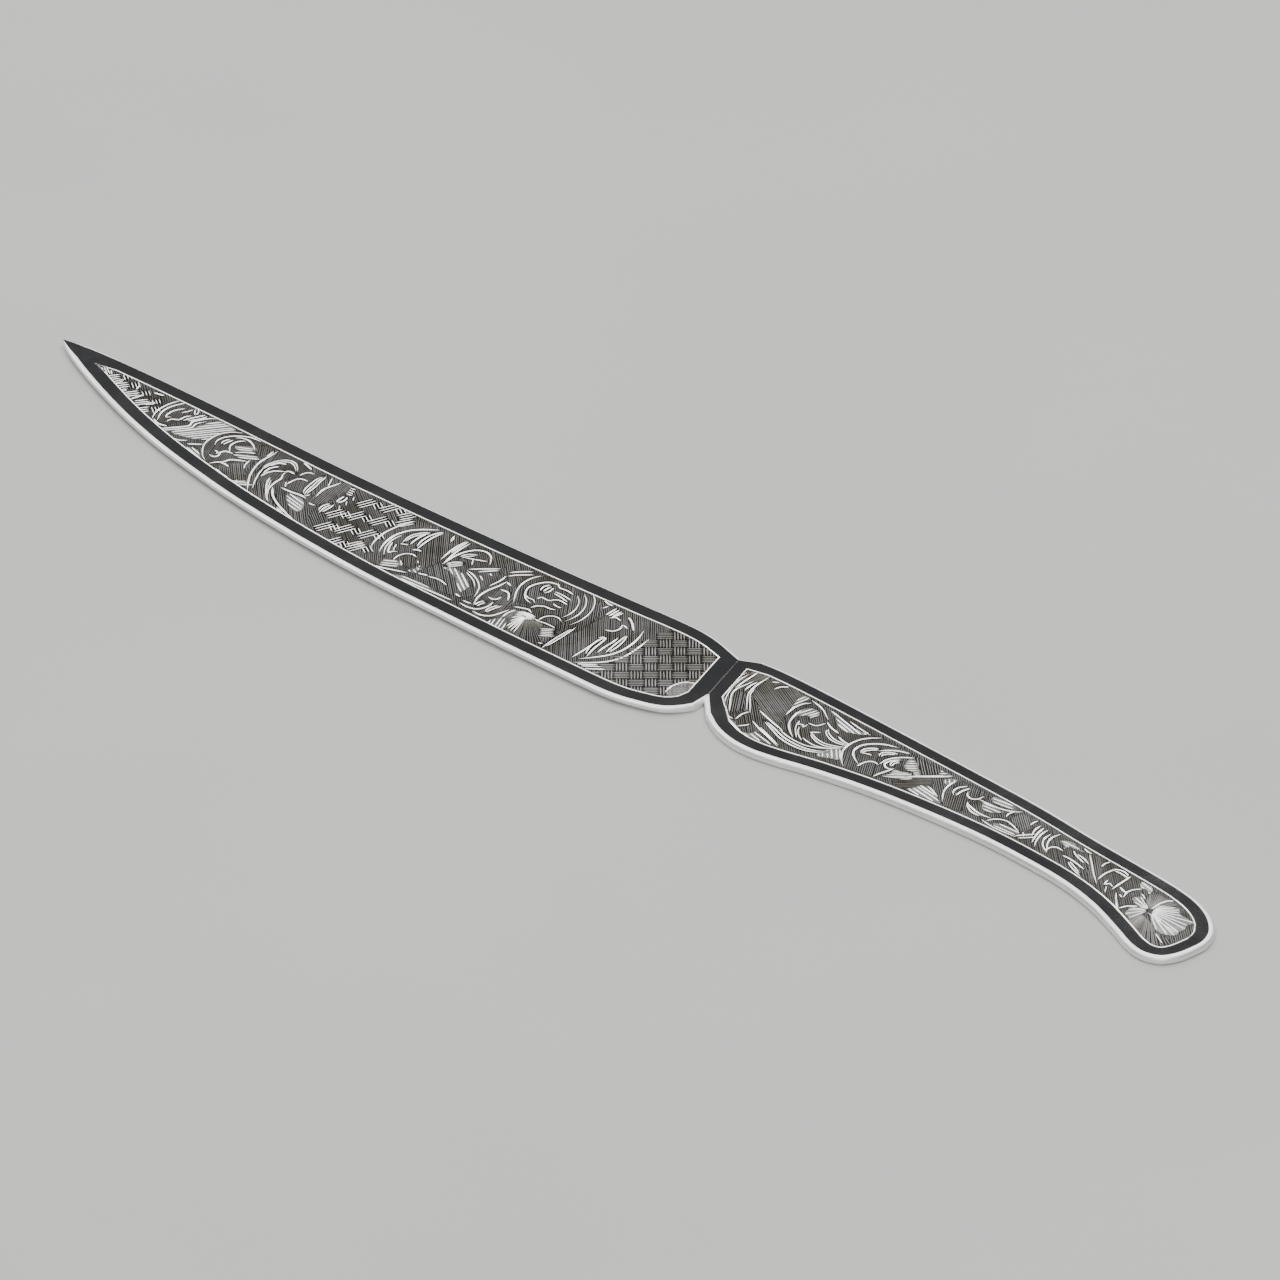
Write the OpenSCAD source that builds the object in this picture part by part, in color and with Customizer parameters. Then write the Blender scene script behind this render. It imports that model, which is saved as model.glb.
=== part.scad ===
/* [Overall] */
// Length of the blade from its tip to the middle of the neck
blade_length = 190; // [170:1:210]
// Width of the blade near the heel, from the spine to the cutting edge
blade_width = 31; // [29:0.5:34]
// Length of the handle from the neck to the butt
handle_length = 131; // [120:1:145]
// Width of the handle at its shoulder, next to the neck
handle_width = 27; // [26:0.5:30]
// Thickness of both plates
thickness = 1.7; // [1.6:0.1:2.4]

/* [Edges] */
// Width of the upper bevel along the cutting edge
upper_bevel = 1; // [0.5:0.1:1.2]
// Depth of the upper bevel along the cutting edge
upper_bevel_depth = 0.5; // [0.3:0.1:0.6]
// Width and depth of the lower bevel along the cutting edge
lower_bevel = 0.9; // [0.4:0.1:0.9]
// Rounding of the corner along the spine
spine_round = 0.4; // [0.2:0.1:0.6]
// Width of the handle's rounded rim
rim_width = 1; // [0.5:0.1:1.1]
// Depth of the handle's rounded rim
rim_depth = 0.8; // [0.4:0.1:1]
// Chamfer round the lower face of both plates
lower_chamfer = 0.3; // [0.1:0.1:0.4]

/* [Neck] */
// Width of the neck between its two notches
neck_width = 16.7; // [15:0.1:18]
// Lean of the joint across the neck, in degrees
neck_lean = 19; // [16:1:21]
// Width of the solder seam
seam = 0.2; // [0.1:0.05:0.4]

/* [Engraved panels] */
// Plain border between the spine and the blade's panel
spine_border = 3; // [2:0.1:3.5]
// Plain border between the cutting edge and the blade's panel
edge_border = 2.8; // [2.2:0.1:3.2]
// Plain border round the handle's panel
handle_border = 2.5; // [2:0.1:2.6]
// Plain border between the neck joint and the blade's panel
blade_neck_border = 3.7; // [2.5:0.1:4.2]
// Plain border between the neck joint and the handle's panel
handle_neck_border = 2.8; // [2.5:0.1:4]
// Width of the line cut round each panel
line_width = 0.35; // [0.2:0.05:0.4]
// Depth of the line cut round each panel
line_depth = 0.15; // [0.1:0.05:0.3]

/* [Hidden] */

// Both plates are drawn from the tip along X, then moved so that the knife's middle stands at the origin
// Curve steps between two points of an outline
steps = 5;
// The middle of the neck, and the direction of the joint, from the lower notch to the upper one
neck_rise = 0.133;
neck = [blade_length, neck_rise * blade_width];
joint_up = [-sin(neck_lean), cos(neck_lean)];
neck_low = neck - joint_up * neck_width / 2;
neck_high = neck + joint_up * neck_width / 2;
// The blade's outline, as shares of its length and width: heel and cutting edge, then the tip and the spine
cutting_shape = [[1.015, -0.215], [1.008, -0.3], [0.995, -0.39], [0.972, -0.459], [0.934, -0.524],
    [0.868, -0.556], [0.79, -0.583], [0.697, -0.607], [0.59, -0.63], [0.484, -0.621], [0.385, -0.585],
    [0.313, -0.536], [0.238, -0.466], [0.172, -0.376], [0.115, -0.274], [0.063, -0.165], [0.026, -0.073]];
tip_shape = [0, 0.013];
spine_shape = [[0.022, 0.06], [0.05, 0.088], [0.13, 0.125], [0.26, 0.163], [0.4, 0.193], [0.5, 0.228],
    [0.62, 0.281], [0.73, 0.338], [0.84, 0.403], [0.885, 0.434], [0.918, 0.449], [0.945, 0.44],
    [0.97, 0.41]];
// The handle's outline, as shares of its length and width: from the upper notch round to the lower one
handle_shape = [[0.009, 0.527], [0.05, 0.555], [0.13, 0.571], [0.3, 0.575], [0.5, 0.573], [0.6, 0.562],
    [0.7, 0.53], [0.836, 0.501], [0.89, 0.477], [0.93, 0.428], [0.962, 0.345], [0.986, 0.23],
    [0.997, 0.1], [0.996, -0.04], [0.99, -0.17], [0.976, -0.278], [0.95, -0.331], [0.919, -0.316],
    [0.872, -0.231], [0.81, -0.128], [0.74, -0.064], [0.66, -0.046], [0.57, -0.054], [0.47, -0.1],
    [0.37, -0.172], [0.28, -0.27], [0.21, -0.368], [0.166, -0.413], [0.125, -0.413], [0.085, -0.362],
    [0.05, -0.27]];

function unit(v) = v / norm(v);
function turned(v) = [-v.y, v.x];
// Where the line through p along d crosses the line through q along e
function crossing(p, d, q, e) = p + d * cross(q - p, e) / cross(d, e);
// A smooth curve through a list of points, with equal steps between each two
function between(a, b, c, d, t) = 0.5 * (2 * b + (c - a) * t
    + (2 * a - 5 * b + 4 * c - d) * t * t + (3 * b - a - 3 * c + d) * t * t * t);
function curve(points) = let (last = len(points) - 1) [
    for (i = [0:last - 1], k = [0:steps - 1])
        between(points[max(i - 1, 0)], points[i], points[i + 1], points[min(i + 2, last)], k / steps),
    points[last]];
function scaled(shape, length, width, start) = [for (p = shape) [start + p.x * length, p.y * width]];

// The outlines, each running clockwise from one notch of the neck to the other
cutting_line = curve(scaled([each cutting_shape, tip_shape], blade_length, blade_width, 0));
spine_line = curve(scaled([tip_shape, each spine_shape], blade_length, blade_width, 0));
blade_line = [neck_low, each cutting_line, for (i = [1:len(spine_line) - 1]) spine_line[i], neck_high];
handle_side = curve(scaled(handle_shape, handle_length, handle_width, blade_length));
handle_line = [neck_high, each handle_side, neck_low];

// At each notch the blade's rim takes the share of the handle's that makes the two meet on the joint
handle_end = len(handle_line) - 1;
last_index = len(blade_line) - 1;
tip_index = len(cutting_line);
// The point of the handle's outline that reaches furthest, at the butt
handle_shares = [for (p = handle_shape) p.x];
butt_index = 1 + steps * search(max(handle_shares), handle_shares)[0];
low_share = abs(cross(unit(blade_line[1] - blade_line[0]), joint_up)
    / cross(unit(handle_line[handle_end] - handle_line[handle_end - 1]), joint_up));
high_share = abs(cross(unit(blade_line[last_index] - blade_line[last_index - 1]), joint_up)
    / cross(unit(handle_line[1] - handle_line[0]), joint_up));
// A value for each point of the blade's outline, changing smoothly between the notches and along each side
ramp = 4 * steps;
function blade_values(at_low, cutting, spine, at_high) = [for (i = [0:last_index])
    i < tip_index ? at_low + (cutting - at_low) * min(1, i / ramp)
    : cutting + (spine - cutting) * min(1, (i - tip_index) / ramp)
        + (at_high - spine) * max(0, 1 - (last_index - i) / ramp)];
// The same for a width, which narrows to a small share of its value at the sharp tip
tip_share = 0.06;
tip_ramp = 1.4 * steps;
function blade_widths(at_low, cutting, spine, at_high) =
    let (values = blade_values(at_low, cutting, spine, at_high))
    [for (i = [0:last_index]) values[i] * max(tip_share, min(1, abs(i - tip_index) / tip_ramp))];
function same_values(line, value) = [for (p = line) value];

// Where corner i of a line goes when both of its sides move in by depth
function inner_point(line, i, depth) = let (
    first = turned(unit(line[i] - line[i - 1])),
    outward = unit(first + turned(unit(line[i + 1] - line[i]))))
    line[i] - outward * depth / (outward * first);
// Where an end of a line goes, which slides along the joint, set back from it by gap
function inner_end(end, next, depth, gap) = let (side = unit(next - end), inward = [side.y, -side.x])
    crossing(end + inward * depth, side, neck + turned(joint_up) * -gap, joint_up);
// A line moved in by a depth for each point. A positive gap moves its ends into the handle
function moved_in(line, depths, gap) = let (last = len(line) - 1) [
    inner_end(line[0], line[1], depths[0], gap),
    for (i = [1:last - 1]) inner_point(line, i, depths[i]),
    inner_end(line[last], line[last] * 2 - line[last - 1], depths[last], gap)];

// The rings of a plate, from its lower face to its upper one: a bevel below, and a rounded rim above
rim_turns = [0, 30, 60, 90];
function ring(line, depths, heights, gap) = let (flat = moved_in(line, depths, gap))
    [for (i = [0:len(flat) - 1]) [flat[i].x, flat[i].y, heights[i]]];
function rings(line, low_widths, low_heights, widths, drops, gap) = [
    ring(line, low_widths, same_values(line, 0), gap),
    ring(line, same_values(line, 0), low_heights, gap),
    for (a = rim_turns)
        ring(line, widths * (1 - cos(a)), [for (d = drops) thickness - d * (1 - sin(a))], gap)];
blade_rings = rings(blade_line,
    blade_widths(lower_chamfer * low_share, lower_bevel, lower_chamfer, lower_chamfer * high_share),
    blade_values(lower_chamfer, lower_bevel, lower_chamfer, lower_chamfer),
    blade_widths(rim_width * low_share, upper_bevel, spine_round, rim_width * high_share),
    blade_values(rim_depth, upper_bevel_depth, spine_round, rim_depth), -seam / 2);
handle_rings = rings(handle_line, same_values(handle_line, lower_chamfer),
    same_values(handle_line, lower_chamfer), same_values(handle_line, rim_width),
    same_values(handle_line, rim_depth), seam / 2);
// The solder joins the ends of each blade ring to the ends of the handle ring at its height
solder_rings = [for (k = [0:len(blade_rings) - 1]) let (b = blade_rings[k], h = handle_rings[k])
    [b[0], b[len(b) - 1], h[0], h[len(h) - 1]]];

// The line round an engraved panel, cut into the upper face inside the rim, and the panel's own outline
function line_rings(outer, inner) = [
    for (r = [[outer, thickness], [outer, thickness - line_depth], [inner, thickness - line_depth],
        [inner, thickness]]) [for (p = r[0]) [p.x, p.y, r[1]]]];
function mix(p, q, share) = p + (q - p) * share;
function straight(line, first, last) = [for (i = [0:len(line) - 1])
    i > first && i < last ? mix(line[first], line[last], (i - first) / (last - first)) : line[i]];
// A panel's sides run straight into its corners at the neck
corner_run = steps;
function panel(line, depths, gap) = let (sides = moved_in(line, depths, gap), end = len(line) - 1)
    straight(straight(sides, 0, corner_run), end - corner_run, end);
function handle_panel(extra) = panel(handle_line,
    same_values(handle_line, handle_border + rim_width + extra), handle_neck_border + extra);
// The two sides of the blade's panel run straight to a point from where the blade grows too narrow for them
panel_tip = [0.064 * blade_length, -0.045 * blade_width];
// The point is so narrow that it moves in this many times as far as its sides
tip_stretch = 2.5;
straight_from = 0.08 * blade_length;
first_straight = min([for (i = [0:last_index]) if (blade_line[i].x < straight_from) i]);
last_straight = max([for (i = [0:last_index]) if (blade_line[i].x < straight_from) i]);
blade_borders = blade_values(edge_border + rim_width, edge_border + upper_bevel,
    spine_border + spine_round, spine_border + spine_round);
function blade_panel(extra) = let (
    sides = panel(blade_line, [for (b = blade_borders) b + extra], -blade_neck_border - extra),
    tip = panel_tip + [tip_stretch * extra, 0],
    pointed = [for (i = [0:last_index]) i == tip_index ? tip : sides[i]])
    straight(straight(pointed, first_straight - 1, tip_index), tip_index, last_straight + 1);

// Triangles across a ring from side to side, where its two sides meet at the point numbered far
function across(count, far) = let (others = count - 1 - far) [
    for (i = [0:far - 1]) let (k = round(i * others / far), next = round((i + 1) * others / far))
        each [[i, i + 1, count - 1 - k], for (m = [k:1:next - 1])
            if (m < others - 1 || i < far - 1) [i + 1, count - 2 - m, count - 1 - m]]];

module lofted(rings, far) {
    count = len(rings[0]);
    top = len(rings) - 1;
    walls = [for (k = [0:top - 1], i = [0:count - 1])
        let (a = k * count, b = a + count, j = (i + 1) % count)
        each [[a + i, a + j, b + j], [a + i, b + j, b + i]]];
    lower_face = [for (t = across(count, far)) [t[2], t[1], t[0]]];
    upper_face = [for (t = across(count, far)) [for (i = t) top * count + i]];
    polyhedron([for (r = rings) each r], concat(lower_face, upper_face, walls));
}

// The middle of the knife's box, in the frame that the outlines are drawn in
all_points = concat(blade_line, handle_line);
low_corner = [min([for (p = all_points) p.x]), min([for (p = all_points) p.y])];
high_corner = [max([for (p = all_points) p.x]), max([for (p = all_points) p.y])];
module centred() {
    middle = (low_corner + high_corner) / 2;
    translate([-middle.x, -middle.y, 0]) children();
}

module blade() {
    color("lightgray") centred()
        lofted(concat(blade_rings, line_rings(blade_panel(0), blade_panel(line_width))), tip_index);
}

module handle() {
    color("silver") centred()
        lofted(concat(handle_rings, line_rings(handle_panel(0), handle_panel(line_width))), butt_index);
}

module neck_solder() {
    color("gainsboro") centred() lofted(solder_rings, 1);
}

blade();
handle();
neck_solder();
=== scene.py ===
import math
import random
from collections import namedtuple

import bpy
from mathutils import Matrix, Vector
from mathutils.geometry import delaunay_2d_cdt


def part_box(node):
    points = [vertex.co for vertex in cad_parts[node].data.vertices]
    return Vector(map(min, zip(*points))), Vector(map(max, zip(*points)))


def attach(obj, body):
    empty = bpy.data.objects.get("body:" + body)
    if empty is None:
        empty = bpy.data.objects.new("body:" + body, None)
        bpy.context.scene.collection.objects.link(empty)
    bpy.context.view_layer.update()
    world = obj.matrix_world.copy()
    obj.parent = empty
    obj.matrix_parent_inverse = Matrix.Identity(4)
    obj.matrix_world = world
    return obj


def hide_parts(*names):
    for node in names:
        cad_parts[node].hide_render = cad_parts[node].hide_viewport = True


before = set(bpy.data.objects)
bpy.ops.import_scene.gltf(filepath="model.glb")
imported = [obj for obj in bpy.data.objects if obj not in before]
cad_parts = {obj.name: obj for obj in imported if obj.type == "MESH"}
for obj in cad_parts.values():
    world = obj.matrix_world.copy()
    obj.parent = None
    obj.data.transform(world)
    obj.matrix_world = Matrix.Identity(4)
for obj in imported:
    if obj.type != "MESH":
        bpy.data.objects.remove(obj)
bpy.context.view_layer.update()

MM = 0.001

# The photograph's camera, in the row frame
CAMERA_AZIMUTH = 44.94
CAMERA_ELEVATION = 32.4
CAMERA_DISTANCE = 2000 * MM
CAMERA_TARGET = Vector((8.17, 4.54, 1.7)) * MM
VIEW_WIDTH = 254.83 * MM
SENSOR = 36

# The studio, in metres and watts: angles are degrees, and a strip's turn is from straight behind the object
FLOOR_REACH = 8
FLOOR_TONES = ((0.3, (0.43, 0.427, 0.417)), (0.7, (0.46, 0.457, 0.447)))
WORLD_IN_MIRRORS = (0.050, 0.051, 0.054, 1)
WORLD_SEEN = (0.62, 0.62, 0.61, 1)
OVERHEAD = {"elevation": 89.9, "distance": 1.2, "width": 2.1, "height": 2.1, "power": 38}
FRONT = {"elevation": 24, "distance": 3, "width": 3, "height": 2, "power": 40}
STRIP = {"elevation": 27, "distance": 3, "width": 1.9, "height": 2.5, "power": 44}
STRIP_TURN = 33.5


# Camera, floor and light

def outward(azimuth, elevation):
    """The direction from the object to a place seen at this azimuth and elevation, in degrees."""
    a, e = math.radians(azimuth), math.radians(elevation)
    return Vector((math.sin(a) * math.cos(e), -math.cos(a) * math.cos(e), math.sin(e)))


def add_camera():
    data = bpy.data.cameras.new("camera")
    data.sensor_width = SENSOR
    data.lens = SENSOR * CAMERA_DISTANCE / VIEW_WIDTH
    data.clip_start = 0.01
    data.clip_end = 100
    camera = bpy.data.objects.new("camera", data)
    back = outward(CAMERA_AZIMUTH, CAMERA_ELEVATION)
    camera.location = CAMERA_TARGET + back * CAMERA_DISTANCE
    camera.rotation_euler = back.to_track_quat("Z", "Y").to_euler()
    bpy.context.scene.collection.objects.link(camera)
    bpy.context.scene.camera = camera


def add_softbox(name, azimuth, elevation, distance, width, height, power):
    """A rectangular area light that faces the object."""
    data = bpy.data.lights.new(name, "AREA")
    data.shape = "RECTANGLE"
    data.size = width
    data.size_y = height
    data.energy = power
    light = bpy.data.objects.new(name, data)
    back = outward(azimuth, elevation)
    light.location = back * distance
    light.rotation_euler = back.to_track_quat("Z", "Y").to_euler()
    light.visible_camera = False
    bpy.context.scene.collection.objects.link(light)


def add_world():
    """Dark in mirrors, so that polished silver has something dark to show, and pale to the camera."""
    world = bpy.data.worlds.new("studio")
    bpy.context.scene.world = world
    world.use_nodes = True
    nodes, links = world.node_tree.nodes, world.node_tree.links
    nodes.clear()
    output = nodes.new("ShaderNodeOutputWorld")
    dark = nodes.new("ShaderNodeBackground")
    dark.inputs["Color"].default_value = WORLD_IN_MIRRORS
    pale = nodes.new("ShaderNodeBackground")
    pale.inputs["Color"].default_value = WORLD_SEEN
    seen = nodes.new("ShaderNodeLightPath")
    mix = nodes.new("ShaderNodeMixShader")
    links.new(seen.outputs["Is Camera Ray"], mix.inputs["Fac"])
    links.new(dark.outputs[0], mix.inputs[1])
    links.new(pale.outputs[0], mix.inputs[2])
    links.new(mix.outputs[0], output.inputs["Surface"])


def add_floor():
    r = FLOOR_REACH
    mesh = bpy.data.meshes.new("floor")
    mesh.from_pydata([(-r, -r, 0), (r, -r, 0), (r, r, 0), (-r, r, 0)], [], [(0, 1, 2, 3)])
    floor = bpy.data.objects.new("floor", mesh)
    bpy.context.scene.collection.objects.link(floor)
    material, tree, shader = new_material("floor_paper")
    shader.inputs["Roughness"].default_value = 0.7
    shader.inputs["Specular IOR Level"].default_value = 0.15
    noise = tree.add("ShaderNodeTexNoise", Scale=6, Detail=3)
    tree.link(tree.coordinates(), noise, "Vector")
    ramp = tree.ramp(FLOOR_TONES)
    tree.link(noise.outputs["Fac"], ramp, "Fac")
    tree.link(ramp.outputs["Color"], shader, "Base Color")
    mesh.materials.append(material)


# Materials

class Tree:
    """Short ways to add nodes to a material and join them."""

    def __init__(self, tree):
        self.tree = tree

    def add(self, kind, **values):
        node = self.tree.nodes.new(kind)
        for name, value in values.items():
            node.inputs[name].default_value = value
        return node

    def link(self, output, node, socket):
        output = output.outputs[0] if hasattr(output, "outputs") else output
        self.tree.links.new(output, node.inputs[socket])

    def coordinates(self):
        return self.add("ShaderNodeTexCoord").outputs["Object"]

    def ramp(self, stops):
        """A colour ramp between two colours, each with its place."""
        node = self.add("ShaderNodeValToRGB")
        for element, (place, colour) in zip(node.color_ramp.elements, stops):
            element.position = place
            element.color = (*colour, 1)
        return node


def new_material(name):
    material = bpy.data.materials.new(name)
    material.use_nodes = True
    return material, Tree(material.node_tree), material.node_tree.nodes["Principled BSDF"]


# Sizes of the noise in the silver are counts to the metre, and the heights of its bumps are metres
TONE_ENDS = (0.38, 0.62)
WEAR_SCALE = 90
WEAR_ENDS = (0.35, 0.7)
SCRATCH_SCALE = (260, 5200, 900)
SCRATCH_TURN = (0, 0, 0.35)
SCRATCH_HEIGHT = 0.00002
GRAIN_STRENGTH = 0.35
GRAIN_HEIGHT = 0.00003


def silver(name, colours, patches, roughness, scratch, grain=0):
    """Silver whose colour runs between two tones in patches, with fine scratches in its bump.

    patches is the scale of the tones, and roughness is the smoothest place's and the roughest's."""
    material, tree, shader = new_material(name)
    shader.inputs["Metallic"].default_value = 1
    place = tree.coordinates()
    tone = tree.add("ShaderNodeTexNoise", Scale=patches, Detail=5, Roughness=0.6)
    tree.link(place, tone, "Vector")
    ramp = tree.ramp(zip(TONE_ENDS, colours))
    tree.link(tone.outputs["Fac"], ramp, "Fac")
    tree.link(ramp.outputs["Color"], shader, "Base Color")
    wear = tree.add("ShaderNodeTexNoise", Scale=WEAR_SCALE, Detail=8, Roughness=0.7)
    tree.link(place, wear, "Vector")
    spread = tree.add("ShaderNodeMapRange")
    for socket, value in zip(("From Min", "From Max", "To Min", "To Max"), WEAR_ENDS + roughness):
        spread.inputs[socket].default_value = value
    tree.link(wear.outputs["Fac"], spread, "Value")
    tree.link(spread.outputs["Result"], shader, "Roughness")
    stretch = tree.add("ShaderNodeMapping", Scale=SCRATCH_SCALE, Rotation=SCRATCH_TURN)
    tree.link(place, stretch, "Vector")
    lines = tree.add("ShaderNodeTexNoise", Scale=1, Detail=2, Roughness=0.5)
    tree.link(stretch, lines, "Vector")
    bump = tree.add("ShaderNodeBump", Strength=scratch, Distance=SCRATCH_HEIGHT)
    tree.link(lines.outputs["Fac"], bump, "Height")
    if grain:
        dots = tree.add("ShaderNodeTexNoise", Scale=grain, Detail=4, Roughness=0.6)
        tree.link(place, dots, "Vector")
        fine = tree.add("ShaderNodeBump", Strength=GRAIN_STRENGTH, Distance=GRAIN_HEIGHT)
        tree.link(dots.outputs["Fac"], fine, "Height")
        tree.link(bump.outputs["Normal"], fine, "Normal")
        bump = fine
    tree.link(bump.outputs["Normal"], shader, "Normal")
    return material


POLISHED, FILED, GROUND, CUT, BRIGHT = range(5)


def finishes():
    """The finishes of the plates, in the order of their numbers above."""
    return [
        silver("polished_silver", [(0.80, 0.80, 0.79), (0.90, 0.89, 0.87)], 35, (0.07, 0.14), 0.05),
        silver("filed_silver", [(0.88, 0.88, 0.87), (0.96, 0.96, 0.95)], 60, (0.48, 0.6), 0.6, 1800),
        silver("hatched_silver", [(0.105, 0.1, 0.085), (0.178, 0.175, 0.168)], 120, (0.18, 0.26), 0.4),
        silver("cut_silver", [(0.86, 0.85, 0.82), (0.95, 0.94, 0.92)], 90, (0.12, 0.22), 0.3),
        silver("bright_silver", [(0.86, 0.85, 0.83), (0.97, 0.96, 0.95)], 150, (0.2, 0.3), 0.6),
    ]


# The CAD plates' outlines, read back from the frame in millimetres

# A face's normal has at least this much up or down in it where the face is flat, and where it slopes
FLAT = 0.99
SLOPING = 0.02
# Heights nearer than this are level
LEVEL = 1e-3


def cad_triangles(name):
    """The points of a CAD node in millimetres, each once, and its triangles."""
    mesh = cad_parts[name].data
    numbers, points, turned = {}, [], []
    for vertex in mesh.vertices:
        point = tuple(round(c / MM, 4) for c in vertex.co)
        if point not in numbers:
            numbers[point] = len(points)
            points.append(Vector(point))
        turned.append(numbers[point])
    return points, [tuple(turned[v] for v in polygon.vertices) for polygon in mesh.polygons]


def signed_area(loop):
    return sum(p.x * q.y - q.x * p.y for p, q in zip(loop, loop[1:] + loop[:1])) / 2


def edge_numbers(triangles):
    """The closed lines round a set of triangles, as lists of point numbers."""
    after = {}
    sides = {(t[k], t[(k + 1) % 3]) for t in triangles for k in range(3)}
    for a, b in sorted(sides):
        if (b, a) not in sides:
            after[a] = b
    loops = []
    while after:
        start, loop = next(iter(after)), []
        while start in after:
            loop.append(start)
            start = after.pop(start)
        loops.append(loop)
    return loops


def edge_loops(points, triangles):
    """The closed lines round a set of triangles, the one round the largest area first, counterclockwise."""
    loops = [[points[v] for v in loop] for loop in edge_numbers(triangles)]
    return sorted([loop if signed_area(loop) > 0 else loop[::-1] for loop in loops], key=signed_area,
                  reverse=True)


def from_neck(loop):
    """The same loop, starting after its longest side, which lies along the neck."""
    sides = [(loop[i - 1] - loop[i]).length for i in range(len(loop))]
    start = sides.index(max(sides))
    return loop[start:] + loop[:start]


def plate_rings(name):
    """A CAD plate's outlines: lower face, foot and head of its side, top of its rim, and its panel line."""
    points, triangles = cad_triangles(name)
    top = max(p.z for p in points)

    def chosen(test):
        kept = []
        for t in triangles:
            a, b, c = (points[v] for v in t)
            if test((b - a).cross(c - a).normalized().z, (a.z, b.z, c.z)):
                kept.append(t)
        return [from_neck(loop) for loop in edge_loops(points, kept)]

    upper = chosen(lambda up, heights: up > FLAT and min(heights) > top - LEVEL)
    count = len(upper[0])

    def side(loop):
        """The loop without the points that run up or down the end face, at its start and end."""
        extra = (len(loop) - count) // 2
        return loop[extra:len(loop) - extra]

    return {
        "bottom": chosen(lambda up, heights: up < -FLAT and max(heights) < LEVEL)[0],
        "foot": side(chosen(lambda up, heights: up < -SLOPING)[0]),
        "head": side(chosen(lambda up, heights: up > SLOPING)[0]),
        "rim": upper[0],
        "line_outer": upper[1],
        "line_inner": upper[2],
    }


# Curves and outlines

# A turn of more than this is a corner
CORNER = math.radians(30)


def between(a, b, c, d, steps):
    """Points of the smooth curve from b up to c, whose neighbours are a and d."""
    for k in range(steps):
        t = k / steps
        yield 0.5 * (2 * b + (c - a) * t + (2 * a - 5 * b + 4 * c - d) * t * t
                     + (3 * b - a - 3 * c + d) * t ** 3)


def smooth(points, steps):
    """A smooth open curve through points, with this many steps between each two, and its corners kept."""
    last = len(points) - 1
    curve = []
    for i in range(last):
        b, c = points[i], points[i + 1]
        a = points[i - 1] if i else b * 2 - c
        d = points[i + 2] if i + 1 < last else c * 2 - b
        if i and (b - a).angle(c - b) > CORNER:
            a = b * 2 - c
        if i + 1 < last and (c - b).angle(d - c) > CORNER:
            d = c * 2 - b
        curve.extend(between(a, b, c, d, steps))
    return curve + [points[last]]


def curved(places, steps=4):
    """A smooth curve through given places, whose corners are rounded too."""
    points = [Vector(p) for p in places]
    points = [points[0] * 2 - points[1]] + points + [points[-1] * 2 - points[-2]]
    curve = []
    for a, b, c, d in zip(points, points[1:], points[2:], points[3:]):
        curve.extend(between(a, b, c, d, steps))
    return curve + [points[-2]]


def direction(angle):
    return Vector((math.cos(math.radians(angle)), math.sin(math.radians(angle))))


def left_of(v):
    return Vector((-v.y, v.x))


def spans(outline, start, along):
    """The stretches in an outline of the line from start along a direction, as pairs of distances."""
    across = left_of(along)
    sides = [((p - start).dot(along), (p - start).dot(across)) for p in outline]
    hits = []
    for (u, v), (s, t) in zip(sides, sides[1:] + sides[:1]):
        if (v > 0) != (t > 0):
            hits.append(u + (s - u) * v / (v - t))
    hits.sort()
    return list(zip(hits[::2], hits[1::2]))


def lies_in(outline, p):
    return any(low < 0 < high for low, high in spans(outline, p, Vector((1, 0))))


Ring = namedtuple("Ring", "middle reach outline")


def circled(outline):
    """An outline with the middle and the reach of a circle that holds it."""
    middle = sum(outline, Vector((0, 0))) / len(outline)
    return Ring(middle, max((p - middle).length for p in outline), outline)


def crossings(ring, start, along):
    """The stretches of a line in a circled outline."""
    if abs((ring.middle - start).dot(left_of(along))) < ring.reach:
        return spans(ring.outline, start, along)
    return []


def without(kept, taken):
    """Pairs of distances less the stretches between other pairs."""
    for low, high in taken:
        kept = ([(a, min(b, low)) for a, b in kept if a < low]
                + [(max(a, high), b) for a, b in kept if b > high])
    return kept


# The engraver's cuts: each is a few faces that lie on the plate, with a depth at each corner

# Towards the photograph's camera, in plan: the broad side of a cut looks this way, because its deepest
# line is off the middle by this share of its half width
BROAD_SIDE = Vector((0.7, -0.7))
BROAD_SHARE = 0.45
# The length of a straight cut's points, and the share of its length from which it is a lozenge instead
POINT_LENGTH = 0.7
LOZENGE = 0.3
# The half width below which a cut has closed, and the area up to which a face is left out
CLOSED = 0.004
LEAST_AREA = 1e-6


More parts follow.
